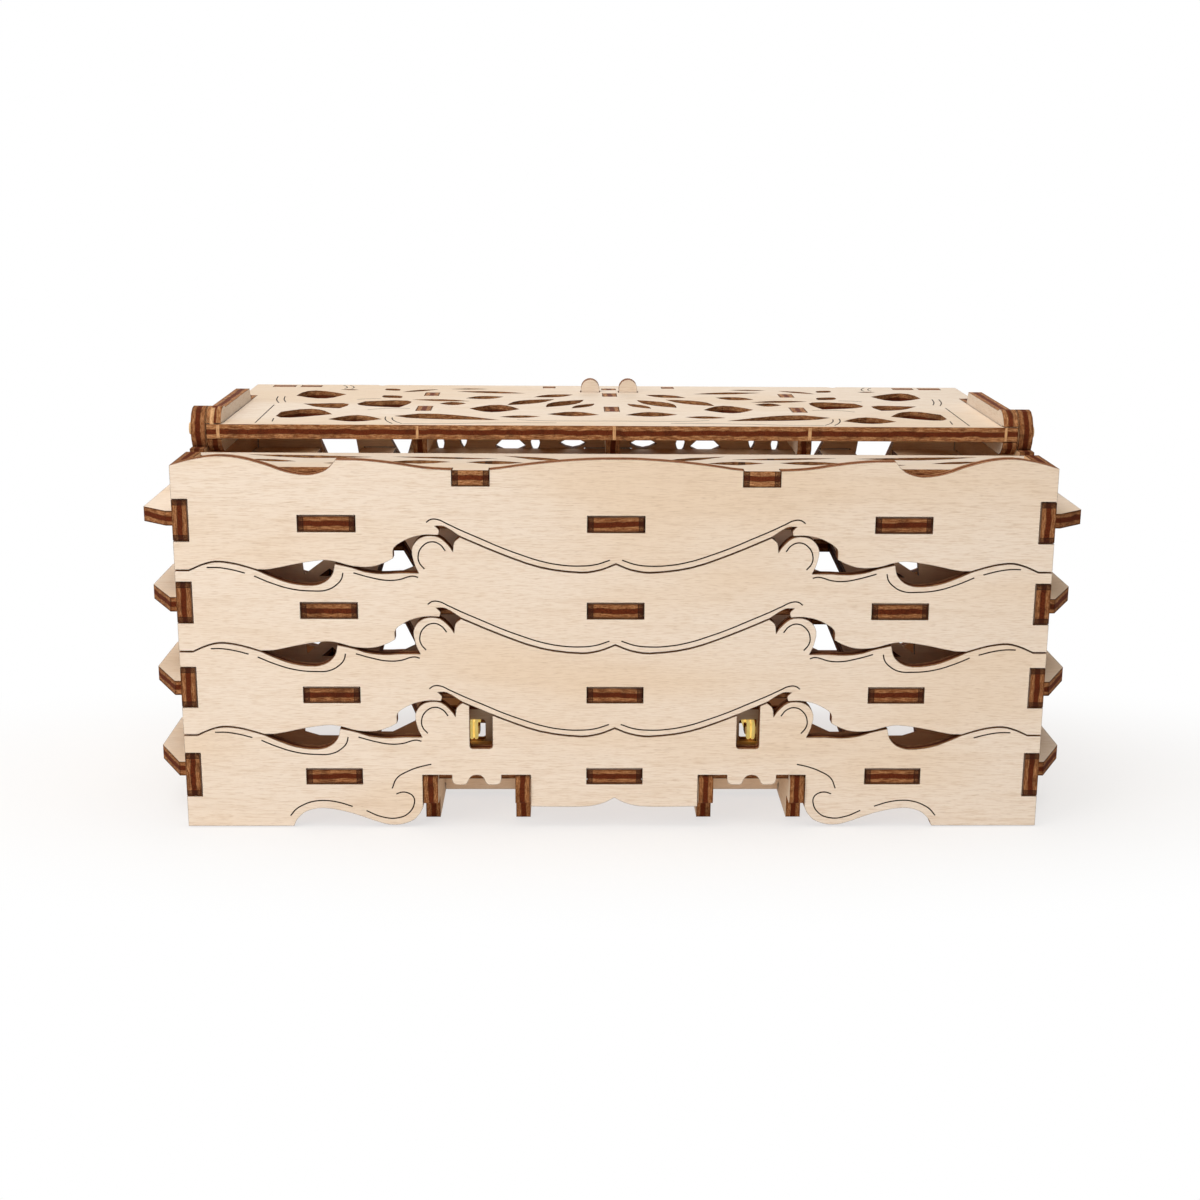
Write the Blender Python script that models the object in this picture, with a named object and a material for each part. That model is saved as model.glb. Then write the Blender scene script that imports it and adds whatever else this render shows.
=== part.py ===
# Wooden card box of four stacked trays. Each tray slides back on the one below it, so that
# the box opens like a flight of steps, and the top tray has a hinged lace lid.
# Lengths are in metres. X runs along the box, -Y faces the scrolled front, +Z is up from
# the table. Outlines of upright plates are written as (along, height), flat ones as (x, y).
from math import asin, cos, degrees, dist, pi, radians, sin

import bpy

mm = 0.001

# The sheet that every plate is cut from, and the clearances between pieces
board = 3.0 * mm
fit = 0.2 * mm
seam_gap = 0.3 * mm

# The box and its four trays, numbered from the top
panel_width = 175.1 * mm
box_depth = 94.7 * mm
tier_4_height = 19.5 * mm
tier_3_height = 17.5 * mm
tier_2_height = 16.6 * mm
tier_1_height = 20.9 * mm
tier_4_floor_rise = 10.7 * mm
middle_floor_rise = 8.5 * mm
tier_1_floor_rise = 9.5 * mm

# Finger joints between the panels and the side walls
finger_rise = 6.0 * mm
finger_height = 8.1 * mm
tier_4_finger_rise = 6.6 * mm
tier_4_finger_height = 8.9 * mm

# Floor tabs through the panels, and floor lugs through the side walls
floor_tab = 11.1 * mm
outer_tab_inset = 30.25 * mm
rear_tab = 7.0 * mm
rear_tab_inset = 32.25 * mm
lug_reach = 8.0 * mm
tier_1_lug_reach = 7.6 * mm
lug_nose = 2.3 * mm
lug_slant = 12.0 * mm
tier_1_lug_slant = 5.0 * mm
lug_setback = 2.0 * mm
lug_parting = 16.0 * mm
lug_corner = 1.5 * mm

# Notches along the floors' rear edge, on both sides of the outer tabs
rear_notch_depth = 14.0 * mm
notch_web = 0.6 * mm
wide_notch = 9.8 * mm
slim_notch = 3.6 * mm

# Openings in the left half of the floors: corners in shares of the half width, and of the
# box's depth from its front
floor_corner_shares = (
    ((-0.7505, 0.294), (-0.680, 0.720), (-0.825, 0.720)),
    ((-0.712, 0.273), (-0.664, 0.273), (-0.697, 0.355)),
    ((-0.576, 0.305), (-0.530, 0.305), (-0.490, 0.390), (-0.494, 0.440), (-0.507, 0.530),
     (-0.548, 0.720), (-0.590, 0.720)),
)
tier_4_floor_corner_shares = (
    ((-0.763, 0.292), (-0.722, 0.258), (-0.660, 0.256), (-0.680, 0.720), (-0.825, 0.720)),
    ((-0.583, 0.288), (-0.545, 0.288), (-0.490, 0.390), (-0.494, 0.440), (-0.507, 0.530),
     (-0.548, 0.720), (-0.590, 0.720)),
)

# The scrolled seams between the trays. Heights are shares of the scroll's rise above the
# end of the seam, and places along the panel are shares of its half width.
scroll_rise = 8.0 * mm
seam_end_shares = ((-0.968, 0.0), (-0.938, 0.145), (-0.908, 0.225), (-0.872, 0.19),
                   (-0.842, 0.11), (-0.813, 0.01))
upper_seam_shares = (
    ((-1.0, 0.0), (-0.968, 0.0)),
    seam_end_shares,
    ((-0.813, 0.01), (-0.785, 0.02), (-0.718, 0.17), (-0.664, 0.25), (-0.638, 0.22),
     (-0.597, 0.10), (-0.555, 0.09), (-0.525, 0.19), (-0.506, 0.30)),
    ((-0.506, 0.30), (-0.504, 0.56), (-0.480, 0.75), (-0.457, 0.85), (-0.429, 0.90),
     (-0.403, 0.89)),
    ((-0.403, 0.89), (-0.401, 1.01), (-0.411, 1.12)),
    ((-0.411, 1.12), (-0.389, 1.11), (-0.354, 0.87)),
    ((-0.354, 0.87), (-0.264, 0.45), (-0.172, 0.10), (-0.079, -0.03), (-0.035, 0.04), (0.0, 0.19)),
)
lower_seam_shares = (
    ((-1.0, 0.0), (-0.968, 0.0)),
    seam_end_shares,
    ((-0.813, 0.01), (-0.787, -0.12), (-0.742, -0.30), (-0.690, -0.36), (-0.662, -0.27),
     (-0.644, -0.07), (-0.638, 0.19)),
    ((-0.638, 0.19), (-0.599, 0.09), (-0.571, -0.01), (-0.532, -0.06), (-0.491, -0.04),
     (-0.448, -0.04)),
    ((-0.448, -0.04), (-0.458, 0.21), (-0.463, 0.56), (-0.450, 0.80), (-0.429, 0.90),
     (-0.402, 0.87), (-0.379, 0.65), (-0.370, 0.50)),
    ((-0.370, 0.50), (-0.367, 0.74), (-0.354, 0.87)),
    ((-0.354, 0.87), (-0.264, 0.45), (-0.172, 0.10), (-0.079, -0.03), (-0.035, 0.04), (0.0, 0.19)),
)

# The crest along the top of the front panel, in shares of its rise above the corner
crest_rise = 2.0 * mm
crest_shares = (
    ((-1.0, 0.0), (-0.954, 0.55), (-0.899, 0.92), (-0.845, 0.75), (-0.788, 0.10), (-0.742, -0.60),
     (-0.694, -0.90), (-0.661, -0.60), (-0.643, -0.10), (-0.630, 0.60)),
    ((-0.630, 0.60), (-0.570, 0.55), (-0.503, 0.25), (-0.434, -0.20), (-0.371, -0.35),
     (-0.286, -0.32), (-0.206, 0.15), (-0.126, 0.52), (-0.046, 0.73), (0.0, 0.75)),
)

# The low rear panels: how far their top edge dips and their bottom edge arches
rear_dip = 4.6 * mm
tier_4_rear_dip = 5.6 * mm
rear_arch = 4.7 * mm
rear_dip_shares = (
    ((-1.0, 0.0), (-0.93, 0.0)),
    ((-0.93, 0.0), (-0.85, -0.70), (-0.72, -1.0), (-0.56, -1.0), (-0.45, -0.70), (-0.33, -0.25),
     (-0.20, -0.10), (0.0, -0.10)),
)
rear_arch_shares = (
    ((-1.0, 0.0), (-0.93, 0.0)),
    ((-0.93, 0.0), (-0.84, 0.55), (-0.72, 0.90), (-0.58, 1.0), (-0.46, 0.70), (-0.32, 0.20),
     (-0.18, 0.0)),
    ((-0.18, 0.0), (0.0, 0.0)),
)

# The top tray's low rear panel and its openings: corners in shares of the half width, and
# of the height between the floor's underside and the panel's top
rear_low_height = 17.4 * mm
lace_height = 6.8 * mm
lace_corner_shares = (
    ((-0.772, 0.0), (-0.686, 0.0), (-0.698, 1.0), (-0.804, 1.0)),
    ((-0.570, 0.0), (-0.558, 0.0), (-0.535, 1.0), (-0.611, 1.0)),
)
lace_leaf_shares = (
    (-0.463, 0.22, -0.463, 0.95, 0.011, 0.011, 1.0),
    (-0.399, 0.40, -0.399, 0.95, 0.009, 0.009, 1.0),
    (-0.312, 0.48, -0.226, 0.48, 0.028, 0.014, 1.0),
    (-0.201, 0.24, -0.201, 0.95, 0.013, 0.013, 1.0),
    (-0.135, 0.60, -0.060, 0.60, 0.014, 0.014, 1.0),
)

# The feet of the bottom panels, in shares of the half width and of the scroll foot's rise
foot_scroll_rise = 4.0 * mm
foot_shares = ((-0.753, 0.0), (-0.745, 0.37), (-0.722, 0.80), (-0.682, 0.97), (-0.617, 0.70),
               (-0.541, 0.12), (-0.505, 0.07), (-0.472, 0.32), (-0.456, 0.70))
apron_rise = 4.2 * mm
cusp_rise = 1.9 * mm
apron_shares = ((-0.120, -0.05), (-0.060, 0.02), (-0.024, 0.42), (0.0, 1.0))

# Foot frames: two foot plates with a cross plate between them, set under each corner bay
frame_centre = 28.25 * mm
foot_plate_offset = 9.4 * mm
frame_cut_top = 11.0 * mm
hanging_half_width = 5.05 * mm
hanging_drop = 2.1 * mm
hanging_corner = 1.0 * mm
arch_half_width = 2.1 * mm
arch_shares = ((-1.15, 0.0), (-0.95, 0.15), (-0.72, 0.62), (-0.42, 0.92), (0.0, 1.0))
nose_proud = 0.6 * mm
nose_bottom = 4.7 * mm
nose_corner = 1.2 * mm
foot_setback = 5.6 * mm
foot_plate_reach = 30.0 * mm
foot_plate_slope = 5.0 * mm
foot_plate_tab_start = 8.0 * mm
foot_plate_tab = 6.0 * mm
cross_plate_front = 20.5 * mm
cross_plate_bottom = 1.2 * mm
cross_plate_top = 19.2 * mm
cross_tab_bottom = 2.6 * mm
cross_tab_height = 4.0 * mm

# The rubber bands and the tongues that they hook over
band_width = 1.8 * mm
band_thickness = 0.9 * mm
band_place = 29.7 * mm
band_play = 0.3 * mm
tongue_height = 1.7 * mm
tongue_overhang = 0.35 * mm
band_slot = 1.2 * mm
finger_slot = 3.4 * mm
finger_slot_length = 20.5 * mm
finger_slot_inset = 1.4 * mm
band_window_centre = 27.25 * mm
band_window = 4.7 * mm
band_window_bottom = 16.6 * mm
band_window_corner = 0.6 * mm

# Guide rails, which steer the tray above and stop it at both ends of its slide
slide_travel = 24.0 * mm
rail_tab = 9.0 * mm
rail_top_gap = 0.4 * mm
rail_corner = 2.0 * mm

# The fixed shelf in front of the lid
shelf_rise = 18.7 * mm
shelf_rear = 22.0 * mm
shelf_tab = 7.1 * mm
shelf_tab_place = 28.75 * mm
shelf_side_tab_start = 18.2 * mm
shelf_side_tab = 3.6 * mm
shelf_leaf_shares = (
    (-0.890, 0.86, -0.584, 0.71, 0.007, 0.036, 1.0),
    (-0.880, 0.54, -0.760, 0.39, 0.013, 0.019, 1.0),
    (-0.694, 0.28, -0.617, 0.27, 0.010, 0.010, 1.0),
    (-0.540, 0.39, -0.394, 0.39, 0.024, 0.030, 1.0),
    (-0.356, 0.37, -0.220, 0.34, 0.026, 0.026, 1.0),
    (-0.540, 0.74, -0.282, 0.62, 0.010, 0.018, 1.0),
    (-0.270, 0.83, -0.120, 0.52, 0.015, 0.024, 1.4),
)

# The lid's hinge: wooden pins through a round ear on each wall and on each cheek
hinge_depth = 28.7 * mm
hinge_rise = 3.3 * mm
ear_radius = 4.7 * mm
pin_diameter = 2.5 * mm
pin_play = 0.2 * mm
pin_proud = 1.0 * mm
wall_rear_drop = 0.5 * mm

# The lid
lid_overhang = 4.4 * mm
lid_corner_tab = 1.6 * mm
cheek_rise = 4.2 * mm
cheek_bar_slope = 1.4 * mm
cheek_drop = 4.6 * mm
cheek_tail = 3.5 * mm
edge_notch_width = 2.5 * mm
edge_notch_depth = 1.4 * mm
rib_drop = 6.5 * mm
rib_nose = 1.2 * mm
first_rib_tab = 8.2 * mm
second_rib_tab = 6.1 * mm
end_rib_tab = 2.7 * mm
skirt_setback = 1.7 * mm
skirt_corner_gap = 1.2 * mm
skirt_tab_insets = (2.55 * mm, 8.95 * mm)
skirt_tabs = (5.0 * mm, 4.6 * mm)
skirt_centre_tab_place = 14.2 * mm
skirt_centre_tab = 2.6 * mm
prong_inner = 2.3 * mm
prong_width = 4.3 * mm
prong_height = 3.0 * mm
pull_bar_height = 2.6 * mm

# Places on the lid: across it in shares of its half width, and along it in shares of its
# depth from the near edge
rib_place_share = 0.489
edge_notch_share = 0.644
cheek_bar_share = 0.554
lid_wide_share = 0.695
rib_end_shares = (0.176, 0.929)
rib_tab_shares = (0.324, 0.7045, 0.885)
pull_share = 0.841

# The lid's lace: each leaf runs from one tip to the other, in shares of the lid's half
# width and of its depth from the near edge, then its two bulges as shares of the half
# width, and how far its widest place leans to the second tip
lid_leaf_shares = (
    (-0.850, 0.285, -0.714, 0.232, 0.080, 0.102, 0.7),
    (-0.714, 0.120, -0.580, 0.125, 0.078, 0.044, 1.0),
    (-0.816, 0.485, -0.708, 0.375, 0.080, 0.022, 1.3),
    (-0.856, 0.690, -0.724, 0.735, 0.105, 0.080, 0.9),
    (-0.656, 0.550, -0.556, 0.400, 0.100, 0.056, 0.7),
    (-0.620, 0.710, -0.567, 0.640, 0.028, 0.028, 1.0),
    (-0.626, 0.895, -0.586, 0.840, 0.022, 0.022, 1.0),
    (-0.752, 0.862, -0.700, 0.857, 0.011, 0.011, 1.0),
    (-0.555, 0.200, -0.285, 0.118, 0.070, 0.030, 0.6),
    (-0.535, 0.600, -0.378, 0.568, 0.024, 0.018, 1.0),
    (-0.456, 0.500, -0.385, 0.510, 0.034, 0.034, 1.0),
    (-0.575, 0.800, -0.478, 0.880, 0.018, 0.012, 1.0),
    (-0.445, 0.893, -0.338, 0.898, 0.012, 0.012, 1.0),
    (-0.425, 0.826, -0.232, 0.782, 0.025, 0.020, 1.0),
    (-0.392, 0.640, -0.290, 0.690, 0.034, 0.034, 1.0),
    (-0.372, 0.385, -0.240, 0.372, 0.085, 0.068, 1.0),
    (-0.275, 0.470, -0.150, 0.630, 0.044, 0.026, 1.0),
    (-0.172, 0.425, -0.072, 0.615, 0.040, 0.030, 1.0),
    (-0.168, 0.258, -0.034, 0.245, 0.056, 0.034, 1.0),
    (-0.288, 0.190, -0.184, 0.202, 0.024, 0.024, 1.0),
    (-0.104, 0.400, -0.044, 0.520, 0.020, 0.020, 1.0),
    (-0.208, 0.680, -0.100, 0.755, 0.030, 0.030, 1.0),
)

# How finely curves are drawn
curve_steps = 3
leaf_steps = 6
thin_leaf_steps = 4
corner_steps = 2
ear_steps = 12
pin_sides = 16

# Derived places
half_width = panel_width / 2
inner_half_width = half_width - board
floor_half_width = inner_half_width - fit
front = -box_depth / 2
rear = box_depth / 2
inner_front = front + board + fit
inner_rear = rear - board - fit
tier_3_base = tier_4_height
tier_2_base = tier_3_base + tier_3_height
tier_1_base = tier_2_base + tier_2_height
hinge_place = front + hinge_depth
hinge_height = tier_1_base + tier_1_height + hinge_rise
outer_tab_place = half_width - outer_tab_inset
rear_tab_place = half_width - rear_tab_inset
rib_place = floor_half_width * rib_place_share
edge_notch_place = floor_half_width * edge_notch_share
half_gap = seam_gap / 2
half_board = board / 2

panel_colour = (0.80, 0.66, 0.48)
inner_colour = (0.72, 0.57, 0.40)
lid_colour = (0.84, 0.71, 0.54)
rail_colour = (0.66, 0.50, 0.33)
foot_colour = (0.58, 0.40, 0.25)
pin_colour = (0.62, 0.46, 0.30)
band_colour = (0.86, 0.68, 0.22)


# Drawing outlines

def smooth(points):
    """A curve through the points, whose slope at each one follows its neighbours."""
    last = len(points) - 1
    slopes = []
    for i in range(last + 1):
        before = points[max(i - 1, 0)]
        after = points[min(i + 1, last)]
        span = dist(before, points[i]) + dist(points[i], after)
        slopes.append([(b - a) / span for a, b in zip(before, after)])
    line = []
    for i in range(last):
        length = dist(points[i], points[i + 1])
        for step in range(curve_steps):
            t = step / curve_steps
            weights = (
                2 * t ** 3 - 3 * t ** 2 + 1,
                (t ** 3 - 2 * t ** 2 + t) * length,
                3 * t ** 2 - 2 * t ** 3,
                (t ** 3 - t ** 2) * length,
            )
            parts = (points[i], slopes[i], points[i + 1], slopes[i + 1])
            line.append(tuple(
                sum(weight * part[axis] for weight, part in zip(weights, parts))
                for axis in range(2)
            ))
    return line + [tuple(points[last])]


def joined(stretches):
    """The smooth stretches end to end, with a corner where two of them meet."""
    line = []
    for stretch in stretches:
        line += smooth(stretch)[:-1]
    return line + [tuple(stretches[-1][-1])]


def both_halves(left):
    """A line drawn from the left end to the middle, completed by its mirror image."""
    return left + [(-x, height) for x, height in reversed(left[:-1])]


def scaled_line(share_stretches, rise, base):
    """The left half of a panel's edge from its shares of the half width and of a rise."""
    return joined([
        [(x * half_width, base + share * rise) for x, share in stretch]
        for stretch in share_stretches
    ])


def arc(centre, radius, start, end, steps):
    """Points on a round corner or ear, with its angles in degrees."""
    angles = [radians(start + (end - start) * step / steps) for step in range(steps + 1)]
    return [(centre[0] + radius * cos(a), centre[1] + radius * sin(a)) for a in angles]


def box(left, right, low, high):
    return [(left, low), (right, low), (right, high), (left, high)]


def mirrored(loops):
    return [[(-x, y) for x, y in reversed(loop)] for loop in loops]


def turned_round(loops):
    """The same loops seen from the back, with front and rear exchanged."""
    return [[(-y, height) for y, height in reversed(loop)] for loop in loops]


def height_at(line, x):
    """The height of a line at a place along it, on its last stretch that passes there."""
    for (x1, z1), (x2, z2) in reversed(list(zip(line, line[1:]))):
        if x1 <= x <= x2:
            return z1 + (z2 - z1) * (x - x1) / (x2 - x1)


def slotted(line, centre, width, bottom, corner):
    """The left half of a panel's top edge with a slot cut down into it."""
    left = centre - width / 2
    right = centre + width / 2
    slot = [(left, height_at(line, left))]
    slot += arc((left + corner, bottom + corner), corner, 180, 270, corner_steps)
    slot += arc((right - corner, bottom + corner), corner, 270, 360, corner_steps)
    slot += [(right, height_at(line, right))]
    return [p for p in line if p[0] < left] + slot + [p for p in line if p[0] > right]


def leaf(start, end, first_bulge, second_bulge, lean, steps):
    """A leaf-shaped opening between two tips, which swells by a bulge on each side."""
    length = dist(start, end)
    along = ((end[0] - start[0]) / length, (end[1] - start[1]) / length)
    across = (-along[1], along[0])

    def side(step, bulge):
        t = step / steps
        swell = bulge * sin(pi * t ** lean)
        reach = length * t
        return (start[0] + along[0] * reach + across[0] * swell,
                start[1] + along[1] * reach + across[1] * swell)

    there = [side(step, -second_bulge) for step in range(steps)]
    back = [side(step, first_bulge) for step in range(steps, 0, -1)]
    return there + back


def leaves(share_rows, half, origin, depth, steps=thin_leaf_steps):
    """Leaf openings on the left half, from shares of a half width and of a depth."""
    return [
        leaf((x1 * half, origin + y1 * depth), (x2 * half, origin + y2 * depth),
             first * half, second * half, lean, steps)
        for x1, y1, x2, y2, first, second, lean in share_rows
    ]


# Making the pieces

def finish(name, colour, roughness):
    material = bpy.data.materials.new(name)
    material.use_nodes = True
    shader = material.node_tree.nodes["Principled BSDF"]
    shader.inputs["Base Color"].default_value = (*colour, 1.0)
    shader.inputs["Roughness"].default_value = roughness
    shader.inputs["Metallic"].default_value = 0.0
    material.diffuse_color = (*colour, 1.0)
    return material


def plate(name, owner, facing, place, outline, holes=(), colour=panel_colour, thickness=board,
          roughness=0.65):
    """A flat plate with its holes. The place is that of its middle along its normal."""
    curve = bpy.data.curves.new(name, "CURVE")
    curve.dimensions = "2D"
    curve.fill_mode = "BOTH"
    curve.extrude = thickness / 2
    for loop in (outline, *holes):
        spline = curve.splines.new("POLY")
        spline.points.add(len(loop) - 1)
        for point, (u, v) in zip(spline.points, loop):
            point.co = (u, v, 0, 1)
        spline.use_cyclic_u = True
    curve.materials.append(finish(name, colour, roughness))
    made = bpy.data.objects.new(name, curve)
    bpy.context.collection.objects.link(made)
    made.parent = owner
    if facing == "front":
        made.rotation_euler = (pi / 2, 0, 0)
        made.location = (0, place, 0)
    elif facing == "side":
        made.rotation_euler = (pi / 2, 0, pi / 2)
        made.location = (place, 0, 0)
    else:
        made.location = (0, 0, place)
    return made


def body(name, parent, place):
    """The empty that a group of pieces rides on, at its place in its parent's frame."""
    holder = bpy.data.objects.new(name, None)
    holder.empty_display_size = board
    bpy.context.collection.objects.link(holder)
    holder.parent = parent
    holder.location = place
    return holder


# The panels, walls and floors that all four trays share

def panel(name, owner, middle, bottom, top, finger_low, finger_tall, tabs, floor_rise, holes=()):
    """A long panel with notched ends for the walls' fingers and slots for the floor's tabs."""
    notch = half_width - board - fit
    low = finger_low - fit
    high = finger_low + finger_tall + fit
    right_end = [(half_width, low), (notch, low), (notch, high), (half_width, high)]
    left_end = [(-x, z) for x, z in reversed(right_end)]
    outline = bottom + right_end + top[::-1] + left_end
    slots = [
        box(x - width / 2 - fit, x + width / 2 + fit,
            floor_rise - half_board - fit, floor_rise + half_board + fit)
        for x, width in tabs
    ]
    return plate(name, owner, "front", middle, outline, [*slots, *holes])


def lug_start():
    return inner_front + lug_setback


def lug_end():
    return -lug_parting / 2


def wall(name, owner, side, top, finger_low, finger_tall, floor_rise, holes=()):
    """A side wall. Its fingers reach through both panels and its slots hold the lugs."""
    finger_high = finger_low + finger_tall
    outline = [
        (inner_front, half_gap), (inner_rear, half_gap),
        (inner_rear, finger_low), (rear, finger_low), (rear, finger_high), (inner_rear, finger_high),
        *top,
        (inner_front, finger_high), (front, finger_high), (front, finger_low),
        (inner_front, finger_low),
    ]
    slot = box(lug_start() - fit, lug_end() + fit,
               floor_rise - half_board - fit, floor_rise + half_board + fit)
    slots = [slot, *turned_round([slot])]
    return plate(name, owner, "side", side * (half_width - half_board), outline,
                 [*slots, *holes], inner_colour)


def level_top(height):
    return [(inner_rear, height), (inner_front, height)]


def floor_openings(corner_shares):
    """The openings in the left half of a floor."""
    return [
        [(x * half_width, front + y * box_depth) for x, y in corners]
        for corners in corner_shares
    ]


def floor(name, owner, rise, reach, slant, corner_shares, railed, holes=()):
    """A tray floor with its tabs, its lugs and the notches along its rear edge."""
    tip = half_width + reach
    nose = half_width + lug_nose
    side = floor_half_width
    centre_tab = floor_tab / 2
    front_half = [
        (centre_tab, front), (centre_tab, inner_front),
        (outer_tab_place - centre_tab, inner_front), (outer_tab_place - centre_tab, front),
        (outer_tab_place + centre_tab, front), (outer_tab_place + centre_tab, inner_front),
        (side, inner_front),
    ]
    lug = [
        (side, lug_start()), (nose, lug_start()), (tip, lug_start() + slant),
        *arc((tip - lug_corner, lug_end() - lug_corner), lug_corner, 0, 90, corner_steps),
        (side, lug_end()),
    ]
    rear_lug = [(x, -y) for x, y in reversed(lug)]
    rail_notch = []
    if railed:
        inner = rail_centre() - half_board - fit
        half_notch = rail_tab / 2 + fit
        rail_notch = [(side, -half_notch), (inner, -half_notch), (inner, half_notch),
                      (side, half_notch)]
    notch_end = inner_rear - rear_notch_depth
    tab_outer = rear_tab_place + rear_tab / 2
    tab_inner = rear_tab_place - rear_tab / 2
    wide_start = tab_outer + notch_web
    wide_end = wide_start + wide_notch
    slim_start = tab_inner - notch_web
    slim_end = slim_start - slim_notch
    rear_half = [
        (side, inner_rear), (wide_end, inner_rear), (wide_end, notch_end),
        (wide_start, notch_end), (wide_start, inner_rear),
        (tab_outer, inner_rear), (tab_outer, rear), (tab_inner, rear), (tab_inner, inner_rear),
        (slim_start, inner_rear), (slim_start, notch_end), (slim_end, notch_end),
        (slim_end, inner_rear), (centre_tab, inner_rear), (centre_tab, rear),
    ]
    right_half = front_half + lug + rail_notch + rear_lug + rear_half
    outline = right_half + [(-x, y) for x, y in reversed(right_half)]
    openings = floor_openings(corner_shares)
    return plate(name, owner, "flat", rise, outline,
                 [*openings, *mirrored(openings), *holes], inner_colour)


def rail_centre():
    return inner_half_width - seam_gap - half_board


def rails(tier, owner, floor_rise, next_floor):
    """The two guide rails, whose feet sit in notches in the floor."""
    floor_top = floor_rise + half_board
    top = next_floor - half_board - rail_top_gap
    start = front + board + slide_travel + seam_gap
    outline = [
        (-rail_tab / 2, floor_rise - half_board), (rail_tab / 2, floor_rise - half_board),
        (rail_tab / 2, floor_top + seam_gap), (inner_rear, floor_top + seam_gap),
        (inner_rear, top - rail_corner), (inner_rear - rail_corner, top),
        (start + rail_corner, top), (start, top - rail_corner),
        (start, floor_top + seam_gap), (-rail_tab / 2, floor_top + seam_gap),
    ]
    for side, word in ((-1, "left"), (1, "right")):
        plate(f"{tier}_{word}_rail", owner, "side", side * rail_centre(), outline,
              colour=rail_colour)


front_tabs = ((0, floor_tab), (-outer_tab_place, floor_tab), (outer_tab_place, floor_tab))
rear_tabs = ((0, floor_tab), (-rear_tab_place, rear_tab), (rear_tab_place, rear_tab))
front_middle = front + half_board
rear_middle = rear - half_board


def middle_tray(tier, owner, height, next_height_floor):
    """One of the two trays between the base and the top, which are alike but for height."""
    under = both_halves(scaled_line(upper_seam_shares, scroll_rise, half_gap))
    over = both_halves(scaled_line(lower_seam_shares, scroll_rise, height - half_gap))
    arched = both_halves(scaled_line(rear_arch_shares, rear_arch, half_gap))
    dipped = both_halves(scaled_line(rear_dip_shares, rear_dip, height - half_gap))
    joint = (finger_rise, finger_height)
    panel(f"{tier}_front_panel", owner, front_middle, under, over, *joint, front_tabs,
          middle_floor_rise)
    panel(f"{tier}_rear_panel", owner, rear_middle, arched, dipped, *joint, rear_tabs,
          middle_floor_rise)
    for side, word in ((-1, "left"), (1, "right")):
        wall(f"{tier}_{word}_wall", owner, side, level_top(height - half_gap), *joint,
             middle_floor_rise)
    floor(f"{tier}_floor", owner, middle_floor_rise, lug_reach, lug_slant, floor_corner_shares,
          True)
    rails(tier, owner, middle_floor_rise, height + next_height_floor)


# The base: the bottom tray with its foot frames and rubber bands

def frame_cut():
    """The opening in a bottom panel round the left foot frame, with its hanging scallops."""
    half_cut = foot_plate_offset + half_board + fit
    bottom = frame_cut_top - hanging_drop
    left = -frame_centre - hanging_half_width
    right = -frame_centre + hanging_half_width
    rise = [(x * arch_half_width, share * hanging_drop) for x, share in arch_shares]
    arch = both_halves(smooth(rise))
    return [
        (-frame_centre - half_cut, frame_cut_top),
        (left, frame_cut_top),
        *arc((left + hanging_corner, bottom + hanging_corner), hanging_corner, 180, 270,
             corner_steps),
        *[(x - frame_centre, bottom + height) for x, height in arch],
        *arc((right - hanging_corner, bottom + hanging_corner), hanging_corner, 270, 360,
             corner_steps),
        (right, frame_cut_top),
        (-frame_centre + half_cut, frame_cut_top),
    ]


def bottom_edge():
    """The left half of a bottom panel's lower edge: foot, scroll, frame opening and apron."""
    half_cut = foot_plate_offset + half_board + fit
    foot = smooth([(x * half_width, share * foot_scroll_rise) for x, share in foot_shares])
    apron = smooth([(-frame_centre + half_cut, apron_rise)]
                   + [(x * half_width, apron_rise + share * cusp_rise) for x, share in apron_shares])
    return [(-half_width, 0), *foot, (-frame_centre - half_cut, foot_scroll_rise),
            *frame_cut(), *apron]


def foot_plate_outline():
    """A foot plate seen from the side: its nose passes through the panel's opening."""
    top = tier_4_floor_rise - half_board - fit
    nose_top = frame_cut_top - fit
    nose_rear = front + board - fit
    nose_front = front - nose_proud
    heel = front + foot_plate_reach
    tab_start = front + foot_plate_tab_start
    tab_end = tab_start + foot_plate_tab
    tab_top = tier_4_floor_rise + half_board
    return [
        (front + foot_setback, 0), (heel, 0), (heel, top - foot_plate_slope),
        (heel - foot_plate_slope, top),
        (tab_end, top), (tab_end, tab_top), (tab_start, tab_top), (tab_start, top),
        (nose_rear, top), (nose_rear, nose_top),
        *arc((nose_front + nose_corner, nose_top - nose_corner), nose_corner, 90, 180,
             corner_steps),
        *arc((nose_front + nose_corner, nose_bottom + nose_corner), nose_corner, 180, 270,
             corner_steps),
        (front + foot_setback, nose_bottom),
    ]


def cross_plate_loops():
    """The left cross plate, with its tabs and the opening round the tongue for the band."""
    inner = foot_plate_offset - half_board - fit
    tip = foot_plate_offset + half_board
    tab_top = cross_tab_bottom + cross_tab_height
    right = [(inner, cross_plate_bottom), (inner, cross_tab_bottom), (tip, cross_tab_bottom),
             (tip, tab_top), (inner, tab_top), (inner, cross_plate_top)]
    outline = right + [(-x, z) for x, z in reversed(right)]
    outline = [(x - frame_centre, z) for x, z in outline]
    low = band_bottom() - band_play
    high = band_top() + band_play
    tongue_low = band_bottom() + band_thickness + band_play
    tongue_tip = -band_place + band_width / 2 + tongue_overhang
    root = -band_place - band_width / 2 - band_play
    end = tongue_tip + band_slot
    corner = band_slot / 2
    opening = [
        (root, low), *arc((end - corner, low + corner), corner, 270, 360, corner_steps),
        *arc((end - corner, high - corner), corner, 0, 90, corner_steps), (root, high),
        (root, tongue_low + tongue_height), (tongue_tip, tongue_low + tongue_height),
        (tongue_tip, tongue_low), (root, tongue_low),
    ]
    return outline, opening


def band_bottom():
    return tier_4_floor_rise + half_board + band_play


def band_top():
    return band_bottom() + tongue_height + 2 * (band_thickness + band_play)


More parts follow.
